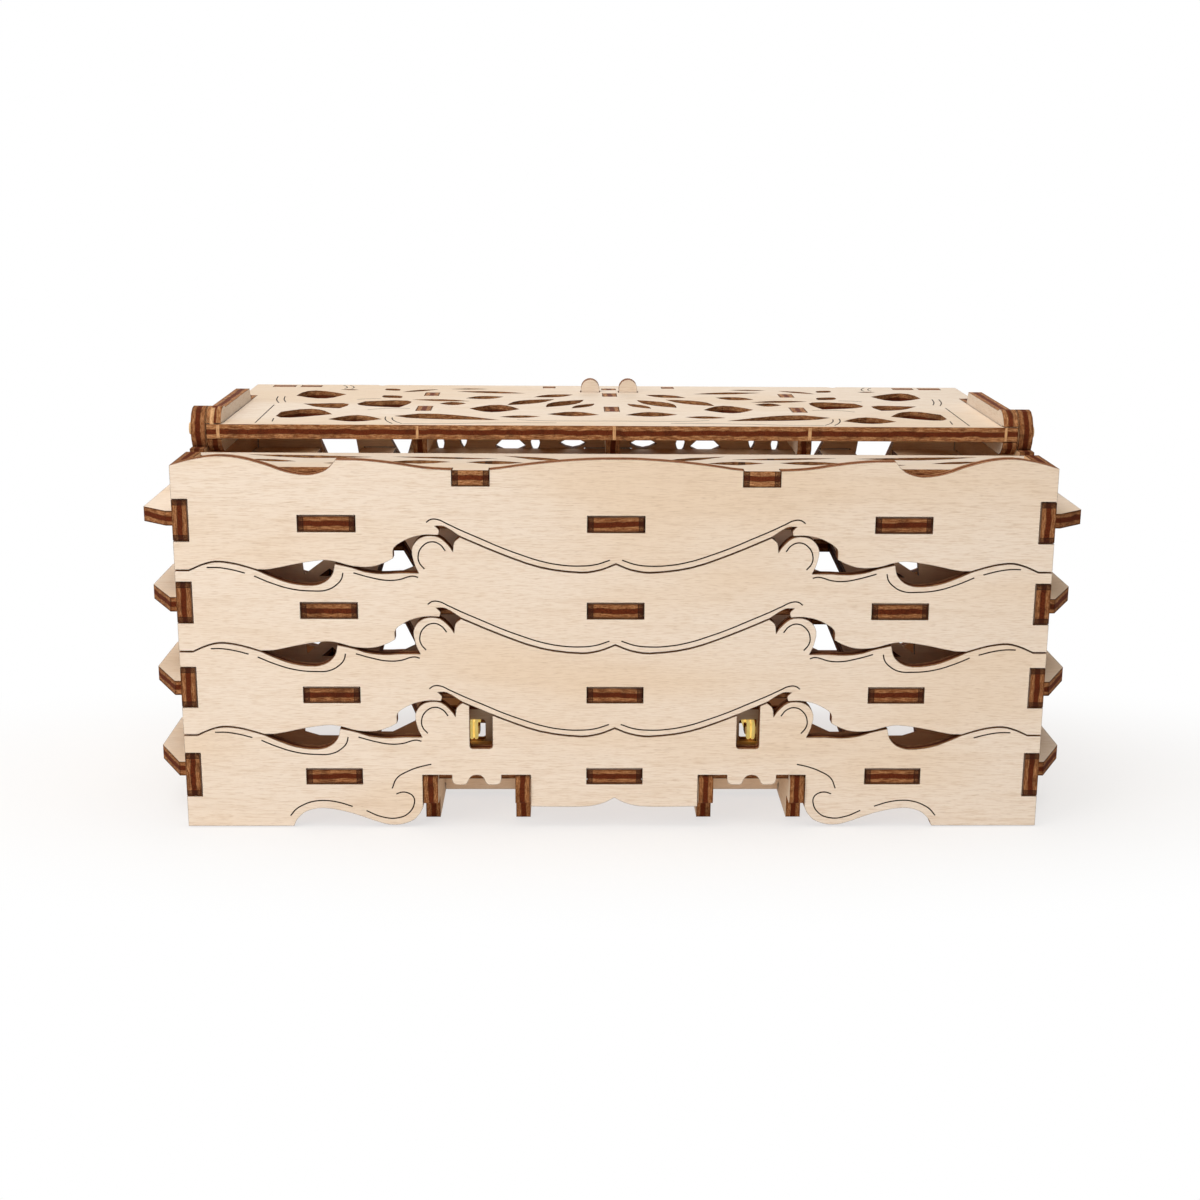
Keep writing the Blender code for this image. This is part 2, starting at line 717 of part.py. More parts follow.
def band_loops():
    """A stretched band from the front cross plate to the rear one, as outer and inner loop."""
    turn = -front - cross_plate_front
    low = band_bottom() + band_thickness + band_play
    high = low + tongue_height
    return [
        arc((turn, low), radius, 270, 360, corner_steps)
        + arc((turn, high), radius, 0, 90, corner_steps)
        + arc((-turn, high), radius, 90, 180, corner_steps)
        + arc((-turn, low), radius, 180, 270, corner_steps)
        for radius in (band_play + band_thickness, band_play)
    ]


def base_floor_holes():
    """Openings in the bottom floor for the foot plates' tabs and for the cross plates, which
    run on behind each cross plate so that a finger can hook the band."""
    holes = []
    tab_start = front + foot_plate_tab_start - fit
    tab_end = tab_start + foot_plate_tab + 2 * fit
    cross = front + cross_plate_front
    inner = foot_plate_offset - half_board
    for offset in (-foot_plate_offset, foot_plate_offset):
        x = frame_centre + offset
        holes.append(box(x - half_board - fit, x + half_board + fit, tab_start, tab_end))
    behind = cross + board + fit
    slot_left = band_place - finger_slot_inset - finger_slot / 2
    slot_right = slot_left + finger_slot
    slot_end = behind + finger_slot_length
    holes.append([
        (frame_centre - inner, cross - fit), (frame_centre + inner, cross - fit),
        (frame_centre + inner, behind), (slot_right, behind), (slot_right, slot_end),
        (slot_left, slot_end), (slot_left, behind), (frame_centre - inner, behind),
    ])
    return holes


def all_corners(holes):
    """Holes from the front right quarter repeated in the other three quarters."""
    back = [[(x, -y) for x, y in reversed(hole)] for hole in holes]
    right = [*holes, *back]
    return [*right, *mirrored(right)]


def make_base(owner):
    height = tier_4_height
    joint = (tier_4_finger_rise, tier_4_finger_height)
    feet = both_halves(bottom_edge())
    seam = scaled_line(lower_seam_shares, scroll_rise, height - half_gap)
    windowed = both_halves(slotted(seam, -band_window_centre, band_window, band_window_bottom,
                                   band_window_corner))
    dipped = both_halves(scaled_line(rear_dip_shares, tier_4_rear_dip, height - half_gap))
    panel("tier_4_front_panel", owner, front_middle, feet, windowed, *joint, front_tabs,
          tier_4_floor_rise)
    panel("tier_4_rear_panel", owner, rear_middle, feet, dipped, *joint, rear_tabs,
          tier_4_floor_rise)
    for side, word in ((-1, "left"), (1, "right")):
        base_wall(f"tier_4_{word}_wall", owner, side, height, *joint)
    floor("tier_4_floor", owner, tier_4_floor_rise, lug_reach, lug_slant,
          tier_4_floor_corner_shares, True, all_corners(base_floor_holes()))
    rails("tier_4", owner, tier_4_floor_rise, height + middle_floor_rise)
    make_foot_frames(owner)


def base_wall(name, owner, side, height, finger_low, finger_tall):
    """The bottom tray's wall, which stands on the table."""
    made = wall(name, owner, side, level_top(height - half_gap), finger_low, finger_tall,
                tier_4_floor_rise)
    for point in made.data.splines[0].points[:2]:
        point.co.y = 0
    return made


def make_foot_frames(owner):
    outline = foot_plate_outline()
    cross = front + cross_plate_front
    slot = box(cross - fit, cross + board + fit, cross_tab_bottom - fit,
               cross_tab_bottom + cross_tab_height + fit)
    loops = [outline, slot]
    back = turned_round(loops)
    offsets = (-frame_centre - foot_plate_offset, -frame_centre + foot_plate_offset,
               frame_centre - foot_plate_offset, frame_centre + foot_plate_offset)
    for number, x in enumerate(offsets, 1):
        plate(f"front_foot_plate_{number}", owner, "side", x, loops[0], loops[1:], foot_colour)
        plate(f"rear_foot_plate_{number}", owner, "side", x, back[0], back[1:], foot_colour)
    left = cross_plate_loops()
    right = mirrored(left)
    middle = cross + half_board
    for word, pair in (("left", left), ("right", right)):
        plate(f"front_{word}_cross_plate", owner, "front", middle, pair[0], pair[1:], foot_colour)
        plate(f"rear_{word}_cross_plate", owner, "front", -middle, pair[0], pair[1:], foot_colour)
    outer, inner = band_loops()
    for side, word in ((-1, "left"), (1, "right")):
        plate(f"{word}_rubber_band", owner, "side", side * band_place, outer, [inner],
              band_colour, band_width, 0.45)


# The top tray: crest, ears for the hinge, and the fixed shelf in front of the lid

def ear_top(height, flat_front, flat_rear):
    """A wall's top edge from rear to front, with a round ear about the hinge pin."""
    centre = (hinge_place, hinge_height - tier_1_base)
    rear_angle = degrees_down(centre[1] - flat_rear)
    front_angle = degrees_down(centre[1] - flat_front)
    return [(inner_rear, flat_rear),
            *arc(centre, ear_radius, -rear_angle, 180 + front_angle, ear_steps)]


def degrees_down(drop):
    """How far below the pin's level the ear's circle meets a flat edge, in degrees."""
    return degrees(asin(drop / ear_radius))


def round_hole(centre, radius):
    return arc(centre, radius, 0, 360, pin_sides)[:-1]


def make_top_tray(owner):
    joint = (finger_rise, finger_height)
    height = tier_1_height
    under = both_halves(scaled_line(upper_seam_shares, scroll_rise, half_gap))
    crest = scaled_line(crest_shares, crest_rise, height)
    notched = both_halves(slotted(crest, -shelf_tab_place, shelf_tab + 2 * fit,
                                  shelf_rise - half_board - fit, 0))
    panel("tier_1_front_panel", owner, front_middle, under, notched, *joint, front_tabs,
          tier_1_floor_rise)
    arched = both_halves(scaled_line(rear_arch_shares, rear_arch, half_gap))
    level = [(-half_width, rear_low_height), (half_width, rear_low_height)]
    lace_base = tier_1_floor_rise - half_board + fit
    lace = [[(x * half_width, lace_base + share * lace_height) for x, share in corners]
            for corners in lace_corner_shares]
    lace += leaves(lace_leaf_shares, half_width, lace_base, lace_height)
    panel("tier_1_rear_panel", owner, rear_middle, arched, level, *joint, rear_tabs,
          tier_1_floor_rise, [*lace, *mirrored(lace)])
    make_top_walls(owner, joint)
    floor("tier_1_floor", owner, tier_1_floor_rise, tier_1_lug_reach, tier_1_lug_slant,
          floor_corner_shares, False)
    make_shelf(owner)
    make_pins(owner)


def make_top_walls(owner, joint):
    height = tier_1_height
    notch_start = front + shelf_side_tab_start - fit
    notch_end = notch_start + shelf_side_tab + 2 * fit
    notch_bottom = shelf_rise - half_board - fit
    top = ear_top(height, height, height - wall_rear_drop)
    top += [(notch_end, height), (notch_end, notch_bottom), (notch_start, notch_bottom),
            (notch_start, height), (inner_front, height)]
    pin_hole = round_hole((hinge_place, hinge_height - tier_1_base), pin_diameter / 2 + pin_play)
    for side, word in ((-1, "left"), (1, "right")):
        wall(f"tier_1_{word}_wall", owner, side, top, *joint, tier_1_floor_rise, [pin_hole])


def make_shelf(owner):
    """The lace shelf, whose tabs drop into notches in the front panel and the walls."""
    tab_start = front + shelf_side_tab_start
    tab_end = tab_start + shelf_side_tab
    tab_left = shelf_tab_place - shelf_tab / 2
    tab_right = shelf_tab_place + shelf_tab / 2
    end = front + shelf_rear
    right_half = [
        (tab_left, inner_front), (tab_left, front), (tab_right, front), (tab_right, inner_front),
        (floor_half_width, inner_front), (floor_half_width, tab_start), (half_width, tab_start),
        (half_width, tab_end), (floor_half_width, tab_end), (floor_half_width, end),
    ]
    outline = right_half + [(-x, y) for x, y in reversed(right_half)]
    openings = leaves(shelf_leaf_shares, floor_half_width, inner_front, end - inner_front)
    plate("tier_1_shelf", owner, "flat", shelf_rise, outline, [*openings, *mirrored(openings)],
          lid_colour)


def make_pins(owner):
    """The two hinge pins, each a short dowel through a wall's ear and a cheek's ear."""
    inner_end = floor_half_width - board
    outer_end = half_width + pin_proud
    length = outer_end - inner_end
    for side, word in ((-1, "left"), (1, "right")):
        curve = bpy.data.curves.new(f"{word}_hinge_pin", "CURVE")
        curve.dimensions = "3D"
        curve.bevel_depth = pin_diameter / 2
        curve.bevel_resolution = 4
        curve.use_fill_caps = True
        spline = curve.splines.new("POLY")
        spline.points.add(1)
        spline.points[0].co = (-length / 2, 0, 0, 1)
        spline.points[1].co = (length / 2, 0, 0, 1)
        curve.materials.append(finish(f"{word}_hinge_pin", pin_colour, 0.5))
        pin = bpy.data.objects.new(f"{word}_hinge_pin", curve)
        bpy.context.collection.objects.link(pin)
        pin.parent = owner
        pin.location = (side * (inner_end + outer_end) / 2, hinge_place,
                        hinge_height - tier_1_base)


# The lid, drawn about its hinge axis: the axis lies at the middle of the plate's thickness

def lid_far():
    return rear - hinge_place


def along_lid(share):
    """A place on the lid at a share of its depth from the near edge."""
    return share * (lid_overhang + lid_far()) - lid_overhang


def rib_tabs(end_tab):
    """Where each of a rib's tabs starts, and its length."""
    tabs = [(along_lid(share), length) for share, length in
            zip(rib_tab_shares, (first_rib_tab, second_rib_tab, end_rib_tab))]
    return tabs if end_tab else tabs[:-1]


def skirt_tab_rows():
    """The middle and the width of each of the skirt's tabs on the right half."""
    return [*[(skirt_half_width() - inset, width)
              for inset, width in zip(skirt_tab_insets, skirt_tabs)],
            (skirt_centre_tab_place, skirt_centre_tab)]


def skirt_half_width():
    return floor_half_width - board - fit - skirt_corner_gap


def make_lid(owner):
    make_lid_plate(owner)
    make_cheeks(owner)
    make_ribs(owner)
    make_skirt(owner)
    make_pull(owner)


def make_lid_plate(owner):
    """The lace plate. Its corners lap over the cheeks, which stand flush beside it."""
    wide = floor_half_width
    narrow = wide - board - fit
    near = -lid_overhang
    far = lid_far()
    corner_end = near + lid_corner_tab
    wide_start = along_lid(lid_wide_share)
    half_edge_notch = edge_notch_width / 2
    right_half = [
        (wide, near), (wide, corner_end), (narrow, corner_end),
        (narrow, wide_start), (wide, wide_start), (wide, far),
        (edge_notch_place + half_edge_notch, far),
        (edge_notch_place, far - edge_notch_depth),
        (edge_notch_place - half_edge_notch, far),
    ]
    outline = right_half + [(-x, y) for x, y in reversed(right_half)]
    slots = []
    for x, end_tab in ((0, True), (-rib_place, False), (rib_place, False)):
        slots += [box(x - half_board - fit, x + half_board + fit, y - fit, y + length + fit)
                  for y, length in rib_tabs(end_tab)]
    skirt_front = far - skirt_setback - board
    for x, width in skirt_tab_rows():
        slot = box(x - width / 2 - fit, x + width / 2 + fit, skirt_front - fit,
                   skirt_front + board + fit)
        slots += [slot, *mirrored([slot])]
    pull = along_lid(pull_share)
    prong = box(prong_inner - fit, prong_inner + prong_width + fit,
                pull - half_board - fit, pull + half_board + fit)
    slots += [prong, *mirrored([prong])]
    openings = leaves(lid_leaf_shares, wide, near, far - near, leaf_steps)
    plate("lid_plate", owner, "flat", 0, outline, [*slots, *openings, *mirrored(openings)],
          lid_colour)


def make_cheeks(owner):
    """The lid's side plates. Each ends in an ear round the pin, cut to hold the plate's corner,
    and a bar stands up behind the ear."""
    top = half_board
    under = -half_board - fit
    step = along_lid(lid_wide_share) - fit
    bar_end = along_lid(cheek_bar_share)
    tail = lid_far() - cheek_tail
    lap_end = -lid_overhang + lid_corner_tab + fit
    lap_top = half_board + fit
    front_angle = degrees_down(lap_top)
    low_angle = degrees_down(cheek_drop)
    outline = [
        *arc((0, 0), ear_radius, 180 + front_angle, 360 - low_angle, corner_steps * 2),
        (tail, -cheek_drop), (tail, under), (step, under), (step, top),
        (bar_end + cheek_bar_slope, top), (bar_end, cheek_rise),
        *arc((0, 0), ear_radius, degrees_down(cheek_rise), 180 - front_angle, ear_steps),
        (lap_end, lap_top), (lap_end, -lap_top),
    ]
    hole = round_hole((0, 0), pin_diameter / 2 + pin_play)
    centre = floor_half_width - half_board
    for side, word in ((-1, "left"), (1, "right")):
        plate(f"lid_{word}_cheek", owner, "side", side * centre, outline, [hole], lid_colour)


def make_ribs(owner):
    """The stiffening ribs, whose tabs show in the plate, the middle one lapped by the pull."""
    under = -half_board - fit
    rib_front, rib_rear = [along_lid(share) for share in rib_end_shares]
    pull = along_lid(pull_share)
    for name, x, end_tab in (("lid_centre_rib", 0, True), ("lid_left_rib", -rib_place, False),
                             ("lid_right_rib", rib_place, False)):
        bottom = [(rib_front + rib_nose, -rib_drop)]
        if end_tab:
            start = pull - half_board - fit
            end = pull + half_board + fit
            lap = pull_lap() + fit
            bottom += [(start, -rib_drop), (start, lap), (end, lap), (end, -rib_drop)]
        bottom += [(rib_rear, -rib_drop)]
        top = []
        for y, length in rib_tabs(end_tab):
            top += [(y, under), (y, half_board), (y + length, half_board), (y + length, under)]
        outline = [(rib_front, -rib_drop + rib_nose), *bottom, (rib_rear, under), *top[::-1],
                   (rib_front, under)]
        plate(name, owner, "side", x, outline, colour=inner_colour)


def pull_lap():
    return -rib_drop + pull_bar_height


def make_pull(owner):
    """A forked finger pull: two round-topped prongs on a bar that laps under the centre rib."""
    outer = prong_inner + prong_width
    centre = prong_inner + prong_width / 2
    tip = half_board + prong_height
    radius = prong_width / 2
    right_half = [(outer, -rib_drop),
                  *arc((centre, tip - radius), radius, 0, 180, ear_steps),
                  (prong_inner, pull_lap())]
    outline = right_half + [(-x, z) for x, z in reversed(right_half)]
    plate("lid_finger_pull", owner, "front", along_lid(pull_share), outline,
          colour=lid_colour)


def make_skirt(owner):
    """The board under the lid's far edge, which closes the gap above the low rear panel."""
    half = skirt_half_width()
    under = -half_board - fit
    top = []
    for x, width in skirt_tab_rows():
        top += [(x + width / 2, under), (x + width / 2, half_board),
                (x - width / 2, half_board), (x - width / 2, under)]
    right_half = [(half, -rib_drop), (half, under), *top]
    outline = right_half + [(-x, z) for x, z in reversed(right_half)]
    middle = lid_far() - skirt_setback - half_board
    plate("lid_skirt", owner, "front", middle, outline, colour=lid_colour)


# The whole box

def clear_scene():
    for found in list(bpy.data.objects):
        bpy.data.objects.remove(found)


clear_scene()
base = body("base", None, (0, 0, 0))
tier_3 = body("tier_3", base, (0, 0, tier_3_base))
tier_2 = body("tier_2", tier_3, (0, 0, tier_2_base - tier_3_base))
tier_1 = body("tier_1", tier_2, (0, 0, tier_1_base - tier_2_base))
lid = body("lid", tier_1, (0, hinge_place, hinge_height - tier_1_base))
make_base(base)
middle_tray("tier_3", tier_3, tier_3_height, middle_floor_rise)
middle_tray("tier_2", tier_2, tier_2_height, tier_1_floor_rise)
make_top_tray(tier_1)
make_lid(lid)
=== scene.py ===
import math

import bpy
from mathutils import Matrix, Vector


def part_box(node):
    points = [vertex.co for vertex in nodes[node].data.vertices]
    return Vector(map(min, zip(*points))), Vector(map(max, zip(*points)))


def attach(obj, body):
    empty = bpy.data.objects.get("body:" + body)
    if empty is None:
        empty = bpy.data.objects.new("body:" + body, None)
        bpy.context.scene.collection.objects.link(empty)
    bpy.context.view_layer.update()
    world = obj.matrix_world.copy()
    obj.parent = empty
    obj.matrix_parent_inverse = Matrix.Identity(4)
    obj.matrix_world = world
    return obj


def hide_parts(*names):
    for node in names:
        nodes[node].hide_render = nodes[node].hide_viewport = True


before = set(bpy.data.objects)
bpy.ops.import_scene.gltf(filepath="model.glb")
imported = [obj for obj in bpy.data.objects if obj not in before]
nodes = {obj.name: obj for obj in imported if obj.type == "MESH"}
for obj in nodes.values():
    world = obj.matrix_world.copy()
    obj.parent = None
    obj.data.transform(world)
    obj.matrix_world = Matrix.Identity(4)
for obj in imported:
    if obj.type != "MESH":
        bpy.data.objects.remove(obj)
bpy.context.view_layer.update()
mm = 0.001
scene = bpy.context.scene
scene.view_settings.view_transform = "Standard"
print("card box: frame loaded,", len(nodes), "pieces")


# one colour from its 0 to 255 values
def linear(red, green, blue):
    def channel(value):
        value /= 255
        return value / 12.92 if value <= 0.04045 else ((value + 0.055) / 1.055) ** 2.4
    return (channel(red), channel(green), channel(blue), 1.0)


# a socket is linked, and any other value is set
def feed(tree, socket, value):
    if isinstance(value, bpy.types.NodeSocket):
        tree.links.new(value, socket)
    else:
        socket.default_value = value


def addNode(tree, kind, inputs=None, **settings):
    node = tree.nodes.new(kind)
    for key, value in settings.items():
        setattr(node, key, value)
    for key, value in (inputs or {}).items():
        feed(tree, node.inputs[key], value)
    return node


def calc(tree, operation, first, second=0.0):
    return addNode(tree, "ShaderNodeMath", {0: first, 1: second}, operation=operation).outputs[0]


def ramp(tree, value, low, high, start=0.0, end=1.0):
    node = addNode(tree, "ShaderNodeMapRange",
                   {"Value": value, "From Min": low, "From Max": high, "To Min": start, "To Max": end},
                   interpolation_type="SMOOTHSTEP")
    return node.outputs[0]


def mixColour(tree, factor, first, second, blend="MIX"):
    node = addNode(tree, "ShaderNodeMix", data_type="RGBA", blend_type=blend)
    for socket, value in ((node.inputs[0], factor), (node.inputs[6], first), (node.inputs[7], second)):
        feed(tree, socket, value)
    return node.outputs[2]


def noise(tree, vector, scale=1.0, detail=3.0, rough=0.5, distortion=0.0):
    node = addNode(tree, "ShaderNodeTexNoise",
                   {"Vector": vector, "Scale": scale, "Detail": detail, "Roughness": rough,
                    "Distortion": distortion})
    return node.outputs[0]


def stretched(tree, vector, scales, offset=(0, 0, 0)):
    node = addNode(tree, "ShaderNodeMapping", {"Vector": vector, "Location": offset, "Scale": scales})
    return node.outputs[0]


def startMaterial(name):
    material = bpy.data.materials.new(name)
    material.use_nodes = True
    tree = material.node_tree
    return material, tree, tree.nodes["Principled BSDF"]


# where a point lies on its piece, in mm, and its normal
def placeInMm(tree):
    coords = addNode(tree, "ShaderNodeTexCoord")
    place = addNode(tree, "ShaderNodeVectorMath", {0: coords.outputs["Object"], "Scale": 1 / mm},
                    operation="SCALE").outputs[0]
    return place, coords.outputs["Normal"]


def dress(name, material):
    nodes[name].data.materials.clear()
    nodes[name].data.materials.append(material)


# plywood: pale birch faces, burnt edges, a scorched rim where the two meet
ply = {
    "board": 3.0,             # thickness of the sheet, in mm
    "face": linear(238, 222, 204),
    "faceWarm": linear(231, 207, 179),
    "faceStreak": linear(214, 187, 158),
    "pore": linear(182, 150, 120),
    "outerPly": linear(140, 86, 50),
    "outerPale": linear(206, 152, 104),
    "middlePly": linear(114, 54, 28),
    "middleDark": linear(74, 31, 16),
    "glue": linear(54, 26, 16),
    "charred": linear(50, 27, 18),
    "insideX": 84.6,          # the inner faces of the walls and of the panels, from the middle
    "insideY": 44.4,
    "insideSoft": 0.15,       # the painted shade inside the box sets in over this distance
    "inside": (0.98, 0.77, 0.56),   # painted shade: the warm brown that multiplies the faces inside the box, in place of their shade and warm bounce light
    "haloWidth": 0.24,        # width of the scorched rim round a cut, in mm
    "halo": 0.92,
    "haloTurn": (0.995, 0.80),   # how level a face is where its rim starts and where it is darkest
    # tabTint darkens the edges of floors and walls: partly char, partly painted shade
    "tabTint": (0.80, 0.74, 0.70),
    "endZone": 1.0,           # length of the dark zone at each end of a tab
    "endSoft": 0.06,
    "endPast": (0.4, 0.3),    # the zone stops this far past the tab
    "endRule": (0.13, 0.06),  # half width of the burnt line where the zone begins, outside and inside
    "endRuleChar": 0.85,
    "tabRim": 0.90,           # width of the dark border along a tab's end: partly char, partly painted shade of the gap round the tab in its slot
    "tabTurn": (0.99, 0.86),
    "roughFace": 0.80,
    "roughEdge": 0.90,
    "specular": 0.06,
    "bevelSamples": 6,
    "bumpStrength": 0.20,
    "bumpDepth": 0.06,        # in mm
    "bumpShares": (0.6, 0.4),   # of the fibres and of the specks
    "gluePlace": 0.34,        # how far out the glue lies, as a share of half the sheet's thickness
    "seedStep": (7.3, 3.1, 5.7),   # how far the grain moves on from one plate to the next
}

# how fine each pattern is along the fibres, beside them and across the sheet, then its detail,
# roughness and distortion
patterns = {
    "drift": ((0.014, 0.045, 0.05), 2.0, 0.5, 0.0),
    "figure": ((0.045, 0.75, 0.2), 3.0, 0.55, 0.15),
    "fibre": ((0.36, 5.4, 0.5), 3.0, 0.6, 0.0),
    "pores": ((0.50, 7.5, 0.5), 1.5, 0.5, 0.0),
    "wander": ((0.25, 0.25, 0.1), 2.0, 0.5, 0.0),
    "streak": ((0.70, 0.90, 7.5), 4.0, 0.65, 0.0),
    "speck": ((4.2, 5.2, 8.0), 3.0, 0.6, 0.0),
    "scorch": ((0.30, 0.30, 0.30), 3.0, 0.55, 0.0),
}
# the values between which each change of tone runs, then how much of it shows at either
changes = {
    "facing": (0.60, 0.80, 0.0, 1.0),
    "drift": (0.38, 0.70, 0.0, 0.75),
    "figure": (0.48, 0.74, 0.0, 0.26),
    "fibre": (0.44, 0.72, 0.0, 0.62),
    "pores": (0.60, 0.74, 0.0, 0.32),
    "wander": (0.2, 0.8, -0.12, 0.12),
    "outerStreak": (0.40, 0.64, 0.0, 1.0),
    "outerSpeck": (0.48, 0.66, 0.0, 0.62),
    "coreSpeck": (0.40, 0.66, 0.0, 1.0),
    "core": (0.26, 0.40, 0.0, 1.0),
    "glue": (0.10, 0.02, 0.0, 0.35),
    "scorch": (0.48, 0.72, 0.0, 0.42),
    "skin": (0.90, 0.99, 0.0, 0.35),
    "tabSpeck": (0.36, 0.62, 0.45, 0.90),
}

axisNames = "XYZ"


# 1 where a surface is level within a radius, and less beside its edges
def levelness(tree, radius, trueNormal):
    bevel = addNode(tree, "ShaderNodeBevel", {"Radius": radius * mm}, samples=ply["bevelSamples"])
    return addNode(tree, "ShaderNodeVectorMath", {0: bevel.outputs[0], 1: trueNormal},
                   operation="DOT_PRODUCT").outputs["Value"]


# facing is the axis across the sheet, grain the axis along its fibres, middle its middle plane in mm
def plywood(name, facing, grain, middle, seed, tint=(1, 1, 1), stainAndShade=0.0, insideShade=0.0, rimShare=1.0,
            rimEdge=0.0, tabs=None):
    material, tree, shader = startMaterial(name)
    shader.inputs["Metallic"].default_value = 0.0
    shader.inputs["Specular IOR Level"].default_value = ply["specular"]
    place, normalVector = placeInMm(tree)
    parts = addNode(tree, "ShaderNodeSeparateXYZ", {0: place})
    normal = addNode(tree, "ShaderNodeSeparateXYZ", {0: normalVector})
    across = axisNames.index(facing)
    along = axisNames.index(grain)
    side = 3 - across - along
    shift = [seed * step for step in ply["seedStep"]]

    def pattern(key):
        stretch, detail, rough, distortion = patterns[key]
        scales = [0, 0, 0]
        scales[along], scales[side], scales[across] = stretch
        return noise(tree, stretched(tree, place, scales, shift), 1.0, detail, rough, distortion)

    def change(value, key):
        return ramp(tree, value, *changes[key])

    def absolute(value):
        return calc(tree, "ABSOLUTE", value)

    def multiply(first, second):
        return calc(tree, "MULTIPLY", first, second)

    def apart(first, second):
        return absolute(calc(tree, "SUBTRACT", first, second))

    # face veneer: a slow change of tone, faint figure, short fine fibres and a few pores
    onFace = change(absolute(normal.outputs[across]), "facing")
    fibre = pattern("fibre")
    face = mixColour(tree, change(pattern("drift"), "drift"), ply["face"], ply["faceWarm"])
    face = mixColour(tree, change(pattern("figure"), "figure"), face, ply["faceStreak"])
    face = mixColour(tree, change(fibre, "fibre"), face, ply["faceStreak"])
    face = mixColour(tree, change(pattern("pores"), "pores"), face, ply["pore"])
    # a burnt stain mixed into the faces; on the cross plates it is partly painted shade
    if stainAndShade:
        face = mixColour(tree, stainAndShade, face, ply["outerPly"])
    # painted shade: inside the box the faces are multiplied by a warm brown, in place of the shade and warm
    # bounce light in there
    if insideShade:
        within = [ramp(tree, absolute(parts.outputs[i]), limit + ply["insideSoft"], limit)
                  for i, limit in enumerate((ply["insideX"], ply["insideY"]))]
        shadeInside = multiply(multiply(*within), insideShade)
        face = mixColour(tree, shadeInside, face, ply["inside"] + (1.0,), "MULTIPLY")

    # scorched rim
    trueNormal = addNode(tree, "ShaderNodeNewGeometry").outputs["True Normal"]
    level = levelness(tree, ply["haloWidth"], trueNormal)
    rim = ramp(tree, level, *ply["haloTurn"], 0.0, ply["halo"] * rimShare)
    face = mixColour(tree, rim, face, ply["charred"])

    # burnt edge: three plies, streaks that run along the sheet, scorch that comes and goes
    depth = calc(tree, "SUBTRACT", parts.outputs[across], middle)
    depth = calc(tree, "DIVIDE", depth, ply["board"] / 2)
    depth = absolute(calc(tree, "ADD", depth, change(pattern("wander"), "wander")))
    speck = pattern("speck")
    outer = mixColour(tree, change(pattern("streak"), "outerStreak"), ply["outerPly"], ply["outerPale"])
    outer = mixColour(tree, change(speck, "outerSpeck"), outer, ply["charred"])
    core = mixColour(tree, change(speck, "coreSpeck"), ply["middlePly"], ply["middleDark"])
    edge = mixColour(tree, change(depth, "core"), core, outer)
    edge = mixColour(tree, change(apart(depth, ply["gluePlace"]), "glue"), edge, ply["glue"])
    edge = mixColour(tree, change(pattern("scorch"), "scorch"), edge, ply["charred"])
    edge = mixColour(tree, change(depth, "skin"), edge, ply["charred"])
    # partly char and partly painted shade: the edges of floors and walls are darkened, most of all along
    # the borders of a tab's end, where the gap round a tab in its slot lies in shade
    if rimEdge:
        edge = mixColour(tree, 1.0, edge, ply["tabTint"] + (1.0,), "MULTIPLY")
        level = levelness(tree, ply["tabRim"], trueNormal)
        rim = ramp(tree, level, *ply["tabTurn"], 0.0, rimEdge)
        edge = mixColour(tree, rim, edge, ply["charred"])
    if tabs:
        # both ends of a tab, on the end that shows in its slot, are darkened: partly char where the laser
        # lingered, partly painted shade of the gap between the tab and its slot
        lengthwise, centres = tabs
        fromMiddle = parts.outputs[lengthwise]
        if lengthwise == 0:
            fromMiddle = absolute(fromMiddle)
        showing = change(absolute(normal.outputs[1]), "facing")
        for centre, half in centres:
            offset = apart(fromMiddle, centre)
            start = half - ply["endZone"]
            zone = ramp(tree, offset, start - ply["endSoft"], start + ply["endSoft"])
            zone = multiply(zone, ramp(tree, offset, *(half + past for past in ply["endPast"])))
            zone = multiply(zone, change(speck, "tabSpeck"))
            rule = ramp(tree, apart(offset, start), *ply["endRule"], 0.0, ply["endRuleChar"])
            charAndGapShade = multiply(calc(tree, "MAXIMUM", zone, rule), showing)
            edge = mixColour(tree, charAndGapShade, edge, ply["charred"])

    colour = mixColour(tree, onFace, edge, face)
    if tint != (1, 1, 1):
        colour = mixColour(tree, 1.0, colour, tint + (1.0,), "MULTIPLY")
    feed(tree, shader.inputs["Base Color"], colour)
    rough = ramp(tree, onFace, 0.0, 1.0, ply["roughEdge"], ply["roughFace"])
    feed(tree, shader.inputs["Roughness"], rough)
    fibreShare, speckShare = ply["bumpShares"]
    height = calc(tree, "ADD", multiply(fibre, fibreShare), multiply(speck, speckShare))
    bump = addNode(tree, "ShaderNodeBump",
                   {"Strength": ply["bumpStrength"], "Distance": ply["bumpDepth"] * mm, "Height": height})
    feed(tree, shader.inputs["Normal"], bump.outputs[0])
    return material


# the axis across a plate is the one on which it measures a sheet's thickness
def facingOf(node):
    low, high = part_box(node)
    spans = [abs(high[i] - low[i]) for i in range(3)]
    thin = min(range(3), key=lambda i: abs(spans[i] - ply["board"] * mm))
    return axisNames[thin], (low[thin] + high[thin]) / 2 / mm


